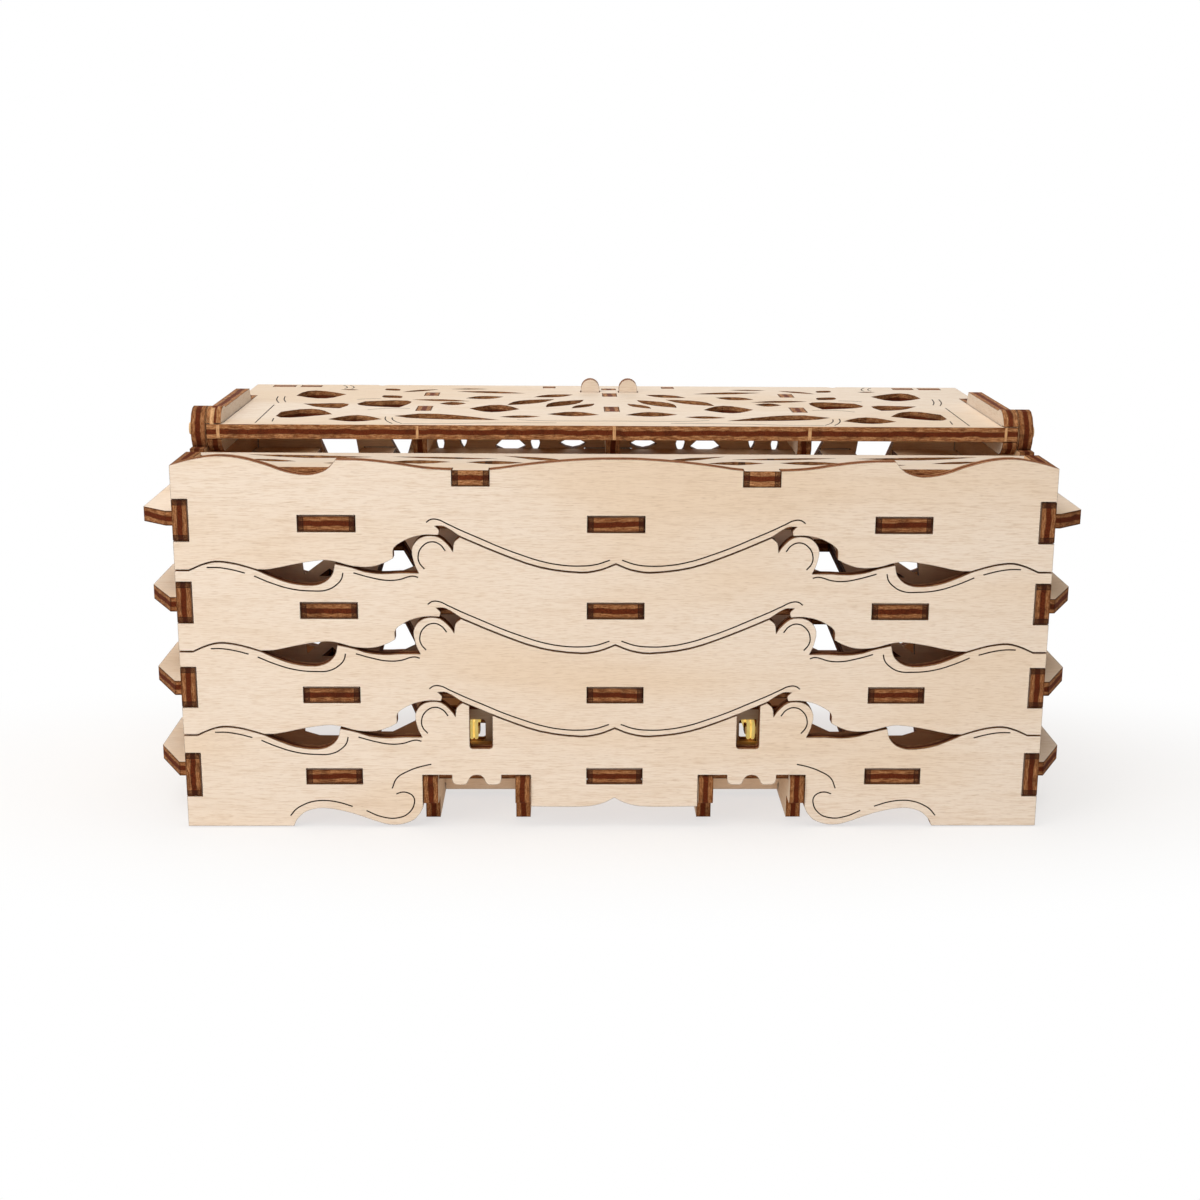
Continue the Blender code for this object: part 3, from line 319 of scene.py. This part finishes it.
# tint darkens a plate and stain browns its faces; on the cross plates both are partly a burnt stain and
# partly painted shade. The faces inside the box get a painted warm shade, rimShare thins the scorched rim
# of its faces, and rimEdge darkens the edges and tab ends of floors and walls, partly char and partly the
# painted shade of the gap round a tab in its slot
looks = {
    "lid_plate": {"rimShare": 0.35},
    "rail": {"stainAndShade": 0.05, "insideShade": 0.8},
    "foot_plate": {"tint": (1.0, 0.99, 0.94), "stainAndShade": 0.02, "rimEdge": 0.35},
    # the cross plates stand deep in the box: their tint and stain are partly a burnt stain and partly
    # painted shade
    "cross_plate": {"tint": (0.97, 0.92, 0.85), "stainAndShade": 0.08},
    "rib": {"stainAndShade": 0.06},
    "_floor": {"insideShade": 1.0, "rimEdge": 0.85},
    "_wall": {"insideShade": 1.0, "rimEdge": 0.6},
    "_panel": {"insideShade": 1.0},
}
# the tabs that show on the front: axis along the tab, then each one's centre and half length
shownTabs = {
    "_floor": (0, ((0.0, 5.55), (57.3, 5.55))),
    "_shelf": (0, ((28.75, 3.55),)),
}
wallTabs = {"tier_4": (11.05, 4.45), "tier_3": (29.55, 4.05), "tier_2": (47.05, 4.05),
            "tier_1": (63.65, 4.05)}
for tier, tab in wallTabs.items():
    for side in ("left", "right"):
        shownTabs[f"{tier}_{side}_wall"] = (2, (tab,))

seed = 0
for name in sorted(nodes):
    if name.endswith(("rubber_band", "hinge_pin")):
        continue
    seed += 1
    facing, middle = facingOf(name)
    extra = dict(next((value for key, value in looks.items() if key in name), {}))
    extra["tabs"] = next((value for key, value in shownTabs.items() if key in name), None)
    grain = "Y" if facing == "X" else "X"
    dress(name, plywood(f"ply_{name}", facing, grain, middle, seed, **extra))
print("card box: plywood laid on", seed, "plates")


# hinge pins: sanded dowels whose end grain shows
pins = {
    "side": linear(206, 170, 122),
    "endGrain": linear(222, 190, 142),
    "ring": linear(168, 122, 78),
    "roughness": 0.55,
    "fibreStretch": (0.3, 4.0, 4.0),
    "fibreShows": (0.45, 0.75, 0.0, 0.5),
    "ringStretch": (0.1, 2.2, 0.9),
    "ringShows": (0.45, 0.65, 0.0, 0.6),
}


def dowel(name):
    material, tree, shader = startMaterial(name)
    shader.inputs["Roughness"].default_value = pins["roughness"]
    place, normalVector = placeInMm(tree)
    normal = addNode(tree, "ShaderNodeSeparateXYZ", {0: normalVector})
    onEnd = ramp(tree, calc(tree, "ABSOLUTE", normal.outputs[0]), *changes["facing"])
    fibre = noise(tree, stretched(tree, place, pins["fibreStretch"]))
    rings = noise(tree, stretched(tree, place, pins["ringStretch"]), detail=2.0)
    side = mixColour(tree, ramp(tree, fibre, *pins["fibreShows"]), pins["side"], pins["ring"])
    end = mixColour(tree, ramp(tree, rings, *pins["ringShows"]), pins["endGrain"], pins["ring"])
    feed(tree, shader.inputs["Base Color"], mixColour(tree, onEnd, side, end))
    return material


pinMaterial = dowel("pin_dowel")
for side in ("left", "right"):
    dress(f"{side}_hinge_pin", pinMaterial)


# burnt lines engraved in the front panels and in the lid
engraving = {
    "width": 0.26,            # these are in mm
    "lidWidth": 0.25,
    "proud": 0.015,           # above the face, and below it
    "sunk": 0.04,
    "step": 0.35,             # from one point of the strip to the next
    "colour": linear(22, 11, 6),
    "fleck": linear(56, 32, 20),
    "fleckScale": 1.6,
    "fleckShows": (0.4, 0.7, 0.0, 0.5),
    "roughness": 0.9,
    "specular": 0.08,
    "face": -47.35,           # the front of the panels
    "lidTop": 79.3,
}
# lines through (along, height) for the left half; heights are above the seam's end
upperLines = [
    [(-37.6, 9.8), (-36.7, 10.4), (-35.4, 10.4), (-33.4, 9.5), (-30.9, 8.3), (-27.0, 6.6),
     (-23.1, 4.9), (-19.1, 3.4), (-15.1, 2.1), (-11.0, 1.3), (-6.9, 1.1), (-4.0, 1.4), (-1.2, 2.3)],
]
cornerLine = [(-81.2, 0.6), (-79.0, 0.6), (-76.4, 0.2), (-73.7, -0.5)]
headLine = [(-38.1, 0.4), (-39.1, 1.7), (-39.3, 3.1), (-38.5, 4.9), (-36.7, 5.9), (-35.0, 5.4),
            (-33.9, 4.1)]
windowLines = [
    [(-71.9, -1.1), (-68.6, -2.5), (-64.6, -3.7), (-60.5, -4.1), (-57.6, -3.9), (-55.6, -2.8),
     (-54.6, -1.6), (-54.3, -0.4)],
    [(-52.2, -0.4), (-49.0, -1.3), (-45.7, -1.9), (-43.2, -1.75), (-41.0, -1.1), (-40.3, -1.05),
     (-39.4, -1.3)],
]
footLines = [
    [(-66.6, 2.2), (-65.4, 3.6), (-63.8, 4.6), (-61.8, 5.3), (-59.6, 5.5), (-56.6, 5.1), (-53.8, 4.2)],
    [(-51.0, 3.3), (-48.0, 2.0), (-44.7, 1.7), (-42.3, 2.8), (-41.1, 5.1), (-41.3, 6.3), (-42.3, 7.1),
     (-43.6, 7.3), (-44.8, 6.9)],
    [(-45.6, 8.1), (-44.6, 10.3), (-42.3, 11.8), (-40.0, 12.7), (-37.5, 13.3)],
]
# lines through (across, from front to rear) on the lid's left half
lidLines = [
    [(-74.6, -20.8), (-74.9, 8.6)],
    [(-71.4, -18.6), (-71.8, -13.6)],
    [(-74.4, 12.4), (-75.6, 17.6), (-76.2, 24.0)],
    [(-73.0, 13.6), (-74.0, 18.2), (-74.6, 24.0)],
    [(-63.6, 46.0), (-62.6, 43.6), (-62.3, 41.2), (-62.7, 39.5)],
    [(-62.0, 46.0), (-61.0, 43.6), (-60.7, 41.2), (-61.0, 39.5)],
    [(-46.2, -21.0), (-47.6, -17.2), (-48.3, -13.6), (-48.5, -10.4)],
    [(-44.2, -21.0), (-45.8, -17.6), (-46.7, -14.4), (-47.0, -11.6)],
    [(-44.0, -21.1), (-36.0, -20.9), (-28.0, -19.7), (-20.0, -18.9), (-12.0, -18.9)],
    [(-53.4, 1.0), (-50.2, 3.2), (-46.4, 3.8), (-44.4, 3.4)],
    [(-57.6, 19.0), (-55.2, 20.2), (-52.4, 20.6)],
    [(-20.4, -14.2), (-15.0, -15.6), (-8.0, -15.8), (0.0, -15.6)],
]


def burntLine():
    material, tree, shader = startMaterial("burnt_line")
    shader.inputs["Roughness"].default_value = engraving["roughness"]
    shader.inputs["Specular IOR Level"].default_value = engraving["specular"]
    fleck = noise(tree, placeInMm(tree)[0], engraving["fleckScale"])
    flecked = ramp(tree, fleck, *engraving["fleckShows"])
    feed(tree, shader.inputs["Base Color"],
         mixColour(tree, flecked, engraving["colour"], engraving["fleck"]))
    return material


# a Geometry Nodes tree and its two ends, with the identifier of each named input
def startTree(name, kinds):
    tree = bpy.data.node_groups.new(name, "GeometryNodeTree")
    ids = {}
    for key, kind in kinds.items():
        socket = tree.interface.new_socket(key, in_out="INPUT", socket_type=f"NodeSocket{kind}")
        ids[key] = socket.identifier
    tree.interface.new_socket("Mesh", in_out="OUTPUT", socket_type="NodeSocketGeometry")
    return tree, ids, tree.nodes.new("NodeGroupInput"), tree.nodes.new("NodeGroupOutput")


# every tree ends in real geometry that wears its finish
def endTree(tree, source, result, geometry):
    real = addNode(tree, "GeometryNodeRealizeInstances", {"Geometry": geometry})
    finished = addNode(tree, "GeometryNodeSetMaterial",
                       {"Geometry": real.outputs[0], "Material": source.outputs["Finish"]})
    feed(tree, result.inputs[0], finished.outputs[0])


# a line drawn flat in X and Y becomes a thin burnt strip, which Turn stands up on a front face
def engravingTree():
    tree, ids, source, result = startTree("engravedLine", {
        "Curve": "Geometry", "Width": "Float", "Thickness": "Float", "Step": "Float",
        "Place": "Vector", "Turn": "Vector", "Finish": "Material"})
    fine = addNode(tree, "GeometryNodeResampleCurve",
                   {"Curve": source.outputs["Curve"], "Length": source.outputs["Step"]}, mode="LENGTH")
    upright = addNode(tree, "GeometryNodeSetCurveNormal", {"Curve": fine.outputs[0]}, mode="Z_UP")
    profile = addNode(tree, "GeometryNodeCurvePrimitiveQuadrilateral",
                      {"Width": source.outputs["Width"], "Height": source.outputs["Thickness"]})
    sweep = addNode(tree, "GeometryNodeCurveToMesh",
                    {"Curve": upright.outputs[0], "Profile Curve": profile.outputs[0], "Fill Caps": True})
    placed = addNode(tree, "GeometryNodeTransform",
                     {"Geometry": sweep.outputs[0], "Translation": source.outputs["Place"],
                      "Rotation": source.outputs["Turn"]})
    endTree(tree, source, result, placed.outputs[0])
    return tree, ids


def drawCurve(name, lines, cyclic=False):
    curve = bpy.data.curves.new(name, "CURVE")
    curve.dimensions = "3D"
    for line in lines:
        spline = curve.splines.new("BEZIER")
        spline.bezier_points.add(len(line) - 1)
        for point, place in zip(spline.bezier_points, line):
            point.co = [value * mm for value in place] + [0.0] * (3 - len(place))
            point.handle_left_type = point.handle_right_type = "AUTO"
        spline.use_cyclic_u = cyclic
    made = bpy.data.objects.new(name, curve)
    scene.collection.objects.link(made)
    return made


# runs a tree on a source object and keeps the result as a plain mesh
def bakeGeometry(source, tree, ids, values, name):
    modifier = source.modifiers.new("grow", "NODES")
    modifier.node_group = tree
    for key, value in values.items():
        modifier[ids[key]] = value
    bpy.context.view_layer.update()
    evaluated = source.evaluated_get(bpy.context.evaluated_depsgraph_get())
    mesh = bpy.data.meshes.new_from_object(evaluated)
    mesh.name = name
    made = bpy.data.objects.new(name, mesh)
    scene.collection.objects.link(made)
    source.modifiers.remove(modifier)
    bpy.data.objects.remove(source)
    return made


def mirrorLines(lines):
    return [[(-point[0], *point[1:]) for point in line] for line in lines]


def raised(lines, height):
    return [[(x, z + height) for x, z in line] for line in lines]


burntMaterial = burntLine()
lineTree, lineIds = engravingTree()
stripDepth = engraving["proud"] + engraving["sunk"]
stripSink = (engraving["sunk"] - engraving["proud"]) / 2      # of a strip's middle below its face
seams = {"tier_4": 19.5, "tier_3": 37.0, "tier_2": 53.6}      # where each front ends at its corners
bodyOfTier = {"tier_4": "base", "tier_3": "tier_3", "tier_2": "tier_2", "tier_1": "tier_1"}
panelLines = {tier: [] for tier in bodyOfTier}
for lower, upper in (("tier_4", "tier_3"), ("tier_3", "tier_2"), ("tier_2", "tier_1")):
    top = raised(upperLines, seams[lower])
    panelLines[upper] += top + mirrorLines(top)
    under = raised([cornerLine, headLine], seams[lower])
    windows = raised(windowLines, seams[lower])
    panelLines[lower] += under + mirrorLines(under) + windows
    if lower != "tier_4":     # the bottom panel has these two on its left half alone
        panelLines[lower] += mirrorLines(windows)
panelLines["tier_4"] += footLines + mirrorLines(footLines)
for tier, lines in panelLines.items():
    engraved = bakeGeometry(
        drawCurve(f"{tier}_lines_path", lines), lineTree, lineIds,
        {"Width": engraving["width"] * mm, "Thickness": stripDepth * mm, "Step": engraving["step"] * mm,
         "Place": (0, (engraving["face"] + stripSink) * mm, 0), "Turn": (math.pi / 2, 0, 0),
         "Finish": burntMaterial},
        f"{tier}_engraved_lines")
    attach(engraved, bodyOfTier[tier])
lidEngraved = bakeGeometry(
    drawCurve("lid_lines_path", lidLines + mirrorLines(lidLines)), lineTree, lineIds,
    {"Width": engraving["lidWidth"] * mm, "Thickness": stripDepth * mm, "Step": engraving["step"] * mm,
     "Place": (0, 0, (engraving["lidTop"] - stripSink) * mm), "Turn": (0, 0, 0),
     "Finish": burntMaterial},
    "lid_engraved_lines")
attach(lidEngraved, "lid")
print("card box: front panels and lid engraved")


# pale nicks where the lid was held in its sheet and snapped off
nicks = {
    "places": (-82.0, -40.9, 0.0, 40.8, 81.9),   # along the lid's near edge, in mm
    "width": 0.55,
    "depth": 0.06,
    "inward": 0.3,            # how much of its depth a nick's middle lies behind the edge
    "corners": (3, 5),        # points across a nick, and up it
    "seed": 4,
    "least": (0.90, 1.0, 0.86),   # a nick's size varies between these shares
    "most": (1.25, 1.0, 0.98),
    "tear": (0.0003, 0.0, 0.0001),   # how far its points are torn out of line, in metres
    "tearScale": 900.0,
    "earPlace": -83.2,        # the nick on the left cheek's ear, along the box
    "earWidth": 0.85,
    "earCentre": (-18.65, 77.8),   # of the ear, from front to rear and up
    "earRadius": 4.7,
    "earFrom": 18,            # in degrees up from the front
    "earTo": 72,
    "earSteps": 9,
    "earStep": 0.3,
    "colour": linear(214, 168, 118),
    "shade": linear(178, 124, 78),
    "roughness": 0.85,
    "splinterStretch": (3.0, 3.0, 0.9),
    "splinterShows": (0.42, 0.66, 0.0, 0.8),
}


def snappedWood():
    material, tree, shader = startMaterial("snapped_wood")
    shader.inputs["Roughness"].default_value = nicks["roughness"]
    splinter = noise(tree, stretched(tree, placeInMm(tree)[0], nicks["splinterStretch"]))
    splintered = ramp(tree, splinter, *nicks["splinterShows"])
    feed(tree, shader.inputs["Base Color"],
         mixColour(tree, splintered, nicks["colour"], nicks["shade"]))
    return material


# a splinter-thin plate on each point of a row, a little different in width and height
def nickTree():
    tree, ids, source, result = startTree("nickRow", {
        "Row": "Geometry", "Size": "Vector", "Finish": "Material"})
    acrossCount, upCount = nicks["corners"]
    points = addNode(tree, "GeometryNodeCurveToPoints", {"Curve": source.outputs["Row"]},
                     mode="EVALUATED")
    chip = addNode(tree, "GeometryNodeMeshCube",
                   {"Size": source.outputs["Size"], "Vertices X": acrossCount, "Vertices Z": upCount})
    change = addNode(tree, "FunctionNodeRandomValue", {"Seed": nicks["seed"]}, data_type="FLOAT_VECTOR")
    change.inputs["Min"].default_value = nicks["least"]
    change.inputs["Max"].default_value = nicks["most"]
    spread = addNode(tree, "GeometryNodeInstanceOnPoints",
                     {"Points": points.outputs[0], "Instance": chip.outputs[0], "Scale": change.outputs[0]})
    real = addNode(tree, "GeometryNodeRealizeInstances", {"Geometry": spread.outputs[0]})
    place = addNode(tree, "GeometryNodeInputPosition")
    torn = addNode(tree, "ShaderNodeTexNoise",
                   {"Vector": place.outputs[0], "Scale": nicks["tearScale"], "Detail": 2.0})
    centred = addNode(tree, "ShaderNodeVectorMath", {0: torn.outputs["Color"], 1: (0.5, 0.5, 0.5)},
                      operation="SUBTRACT")
    offset = addNode(tree, "ShaderNodeVectorMath", {0: centred.outputs[0], 1: nicks["tear"]},
                     operation="MULTIPLY")
    ragged = addNode(tree, "GeometryNodeSetPosition",
                     {"Geometry": real.outputs[0], "Offset": offset.outputs[0]})
    endTree(tree, source, result, ragged.outputs[0])
    return tree, ids


plateLow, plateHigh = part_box("lid_plate")
rowY = plateLow.y + nicks["depth"] * nicks["inward"] * mm
rowZ = (plateLow.z + plateHigh.z) / 2
rowCurve = bpy.data.curves.new("nick_row", "CURVE")
rowCurve.dimensions = "3D"
rowSpline = rowCurve.splines.new("POLY")
rowSpline.points.add(len(nicks["places"]) - 1)
for point, x in zip(rowSpline.points, nicks["places"]):
    point.co = (x * mm, rowY, rowZ, 1)
row = bpy.data.objects.new("nick_row", rowCurve)
scene.collection.objects.link(row)
nickGroup, nickIds = nickTree()
nickWood = snappedWood()
nickPiece = bakeGeometry(
    row, nickGroup, nickIds,
    {"Size": (nicks["width"] * mm, nicks["depth"] * mm, ply["board"] * mm), "Finish": nickWood},
    "lid_edge_nicks")
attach(nickPiece, "lid")

# the same on the round front of the left cheek's ear, drawn flat and stood up across the box
earArc = []
earY, earZ = nicks["earCentre"]
radius = nicks["earRadius"]
for step in range(nicks["earSteps"]):
    share = step / (nicks["earSteps"] - 1)
    angle = math.radians(nicks["earFrom"] + (nicks["earTo"] - nicks["earFrom"]) * share)
    earArc.append((earY - radius * math.cos(angle), earZ + radius * math.sin(angle)))
earNick = bakeGeometry(
    drawCurve("ear_nick_path", [earArc]), lineTree, lineIds,
    {"Width": nicks["depth"] * mm, "Thickness": nicks["earWidth"] * mm, "Step": nicks["earStep"] * mm,
     "Place": (nicks["earPlace"] * mm, 0, 0), "Turn": (math.pi / 2, 0, math.pi / 2), "Finish": nickWood},
    "lid_ear_nick")
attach(earNick, "lid")
print("card box: nicks left on the lid's near edge")


# rubber bands: two strands stretched side by side round the tongues
bands = {
    "strand": 0.86,           # thickness of a strand, in mm
    "spread": 0.46,           # each strand's distance from the middle
    "turn": 0.75,             # radius at a corner of the loop
    "turnPoints": 4,          # a corner is drawn through this many
    "step": 0.4,              # from one point of a strand to the next
    "sides": 10,              # of a strand's round
    "paintedGlow": 0.50,              # painted light: how strongly the bands glow in their own colour, in place of the light that the bright table below throws on them
    "colour": linear(255, 230, 142),
    "shade": linear(238, 206, 104),
    "roughness": 0.42,
    "mottleScale": 0.9,
    "mottleShows": (0.38, 0.7, 0.0, 0.7),
    "skinScale": 5.0,
    "bumpStrength": 0.2,
    "bumpDepth": 0.05,        # in mm
}


def bandRubber():
    material, tree, shader = startMaterial("band_rubber")
    shader.inputs["Roughness"].default_value = bands["roughness"]
    # painted light: the bands glow in their own colour
    shader.inputs["Emission Strength"].default_value = bands["paintedGlow"]
    place = placeInMm(tree)[0]
    mottle = noise(tree, place, bands["mottleScale"])
    colour = mixColour(tree, ramp(tree, mottle, *bands["mottleShows"]), bands["colour"], bands["shade"])
    feed(tree, shader.inputs["Base Color"], colour)
    feed(tree, shader.inputs["Emission Color"], colour)
    skin = noise(tree, place, bands["skinScale"], detail=2.0)
    bump = addNode(tree, "ShaderNodeBump",
                   {"Strength": bands["bumpStrength"], "Distance": bands["bumpDepth"] * mm, "Height": skin})
    feed(tree, shader.inputs["Normal"], bump.outputs[0])
    return material


# strands side by side along a closed path
def strandTree():
    tree, ids, source, result = startTree("bandStrands", {
        "Curve": "Geometry", "Radius": "Float", "Spread": "Float", "Step": "Float", "Finish": "Material"})
    fine = addNode(tree, "GeometryNodeResampleCurve",
                   {"Curve": source.outputs["Curve"], "Length": source.outputs["Step"]}, mode="LENGTH")
    circle = addNode(tree, "GeometryNodeCurvePrimitiveCircle",
                     {"Resolution": bands["sides"], "Radius": source.outputs["Radius"]})
    join = addNode(tree, "GeometryNodeJoinGeometry")
    for sign in (-1.0, 1.0):
        offset = calc(tree, "MULTIPLY", source.outputs["Spread"], sign)
        vector = addNode(tree, "ShaderNodeCombineXYZ", {"X": offset})
        moved = addNode(tree, "GeometryNodeTransform",
                        {"Geometry": fine.outputs[0], "Translation": vector.outputs[0]})
        tube = addNode(tree, "GeometryNodeCurveToMesh",
                       {"Curve": moved.outputs[0], "Profile Curve": circle.outputs[0]})
        feed(tree, join.inputs[0], tube.outputs[0])
    smooth = addNode(tree, "GeometryNodeSetShadeSmooth", {"Geometry": join.outputs[0]})
    endTree(tree, source, result, smooth.outputs[0])
    return tree, ids


# a band's loop, seen from the side, with its corners rounded
def bandPath(x, yEnd, bottom, top):
    turn, count = bands["turn"], bands["turnPoints"]
    path = []
    for centreY, centreZ, start in ((yEnd - turn, bottom + turn, -90), (yEnd - turn, top - turn, 0),
                                    (turn - yEnd, top - turn, 90), (turn - yEnd, bottom + turn, 180)):
        for step in range(count):
            angle = math.radians(start + 90 * step / (count - 1))
            path.append((x, centreY + turn * math.cos(angle), centreZ + turn * math.sin(angle)))
    return path


rubber = bandRubber()
bandTree, bandIds = strandTree()
for side in ("left", "right"):
    low, high = (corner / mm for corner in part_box(f"{side}_rubber_band"))
    half = bands["strand"] / 2
    path = bandPath((low.x + high.x) / 2, high.y - half, low.z + half, high.z - half)
    band = bakeGeometry(
        drawCurve(f"{side}_band_path", [path], True), bandTree, bandIds,
        {"Radius": half * mm, "Spread": bands["spread"] * mm, "Step": bands["step"] * mm,
         "Finish": rubber},
        f"{side}_band_strands")
    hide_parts(f"{side}_rubber_band")
    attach(band, "base")
print("card box: rubber bands stretched")


# stage, lamps and camera
studio = {
    "aim": (0, 0, 0.04),      # what every lamp points at, in metres
    "ambient": 0.15,
    "bounce": 0.35,           # light that the lit table throws back up
    "floor": linear(238, 232, 226),
    "white": (1.0, 1.0, 1.0, 1.0),
    "floorRough": 0.9,
    "floorReach": 4.0,        # in metres, as are the next four
    "floorDrop": 0.0003,      # the floor lies this far under the box
    "nearReach": 0.036,       # from where to where the floor turns wholly white, in a ring
    "farReach": 0.095,
    "glowForward": 0.012,     # how far before the box's middle the ring has its own
    "glowOval": 0.45,         # the ring's depth as a share of its length along the box
    "nearGlow": 0.66,         # how white the floor shows inside the ring
}


# the light path, and 1 for a ray that the camera, a gloss or glass sends out
def seenBy(tree):
    path = addNode(tree, "ShaderNodeLightPath")
    mirrored = calc(tree, "MAXIMUM", path.outputs["Is Glossy Ray"], path.outputs["Is Transmission Ray"])
    return path, calc(tree, "MAXIMUM", path.outputs["Is Camera Ray"], mirrored)


def paintFloor():
    material, tree, shader = startMaterial("paper_floor")
    shader.inputs["Base Color"].default_value = studio["floor"]
    shader.inputs["Roughness"].default_value = studio["floorRough"]
    output = tree.nodes["Material Output"]
    path, seen = seenBy(tree)
    diffuse = calc(tree, "MULTIPLY", path.outputs["Is Diffuse Ray"], studio["bounce"])
    coords = addNode(tree, "ShaderNodeTexCoord")
    ring = addNode(tree, "ShaderNodeVectorMath",
                   {0: coords.outputs["Object"], 1: (studio["glowOval"], 1.0, 1.0),
                    2: (0.0, studio["glowForward"], 0.0)},
                   operation="MULTIPLY_ADD")
    away = addNode(tree, "ShaderNodeVectorMath", {0: ring.outputs[0]}, operation="LENGTH")
    whiteness = ramp(tree, away.outputs["Value"], studio["nearReach"], studio["farReach"],
                     studio["nearGlow"], 1.0)
    glow = addNode(tree, "ShaderNodeEmission", {"Color": studio["white"], "Strength": 1.0})
    share = calc(tree, "MAXIMUM", calc(tree, "MULTIPLY", seen, whiteness), diffuse)
    mix = addNode(tree, "ShaderNodeMixShader", {0: share, 1: shader.outputs[0], 2: glow.outputs[0]})
    feed(tree, output.inputs["Surface"], mix.outputs[0])
    return material


mesh = bpy.data.meshes.new("floor")
reach, drop = studio["floorReach"], -studio["floorDrop"]
corners = [(-reach, -reach, drop), (reach, -reach, drop), (reach, reach, drop), (-reach, reach, drop)]
mesh.from_pydata(corners, [], [(0, 1, 2, 3)])
floor = bpy.data.objects.new("studio_floor", mesh)
scene.collection.objects.link(floor)
mesh.materials.append(paintFloor())

world = bpy.data.worlds.new("studio")
scene.world = world
world.use_nodes = True
tree = world.node_tree
background = tree.nodes["Background"]
background.inputs["Color"].default_value = studio["white"]
backdrop = ramp(tree, seenBy(tree)[1], 0.0, 1.0, studio["ambient"], 1.0)
feed(tree, background.inputs["Strength"], backdrop)

# places and sizes in metres, power in watts
lamps = {
    "key": {"place": (-0.36, -0.40, 0.28), "size": 0.3, "power": 1.14, "colour": (1.0, 0.99, 0.99)},
    "front": {"place": (-0.02, -1.05, 0.14), "size": 0.3, "power": 2.0, "colour": (1.0, 0.97, 0.93)},
    "rear": {"place": (0.0, 0.9, 0.20), "size": 0.45, "power": 4.0, "colour": (1.0, 0.98, 0.95)},
    "top": {"place": (-0.10, -0.12, 0.95), "size": 0.9, "power": 6.7, "colour": (1.0, 0.985, 0.965)},
}
for name, lamp in lamps.items():
    light = bpy.data.lights.new(name, "AREA")
    light.energy = lamp["power"]
    light.size = lamp["size"]
    light.color = lamp["colour"]
    holder = bpy.data.objects.new(name, light)
    holder.location = lamp["place"]
    direction = Vector(studio["aim"]) - holder.location
    holder.rotation_euler = direction.to_track_quat("-Z", "Y").to_euler()
    scene.collection.objects.link(holder)

view = {
    "place": (-9.1, -433.1, 135.3),       # in mm
    "down": 16.07,                        # in degrees
    "yaw": 1.524,
    "roll": 0.469,
    "lens": 59.17,
    "sensor": 36,
    "near": 0.01,
    "shift": (-20.6 / 1200, 113.5 / 1200),   # the photograph is cut off centre
}
down, yaw, roll = (math.radians(view[key]) for key in ("down", "yaw", "roll"))
forward = Vector((math.sin(yaw) * math.cos(down), math.cos(yaw) * math.cos(down), -math.sin(down)))
flatRight = Vector((math.cos(yaw), -math.sin(yaw), 0))
flatUp = flatRight.cross(forward)
right = flatRight * math.cos(roll) + flatUp * math.sin(roll)
up = flatUp * math.cos(roll) - flatRight * math.sin(roll)
cameraData = bpy.data.cameras.new("camera")
cameraData.lens = view["lens"]
cameraData.sensor_width = view["sensor"]
cameraData.shift_x, cameraData.shift_y = view["shift"]
cameraData.clip_start = view["near"]
camera = bpy.data.objects.new("camera", cameraData)
camera.matrix_world = Matrix((
    (right.x, up.x, -forward.x, view["place"][0] * mm),
    (right.y, up.y, -forward.y, view["place"][1] * mm),
    (right.z, up.z, -forward.z, view["place"][2] * mm),
    (0, 0, 0, 1),
))
scene.collection.objects.link(camera)
scene.camera = camera
print("card box: camera and lamps set")
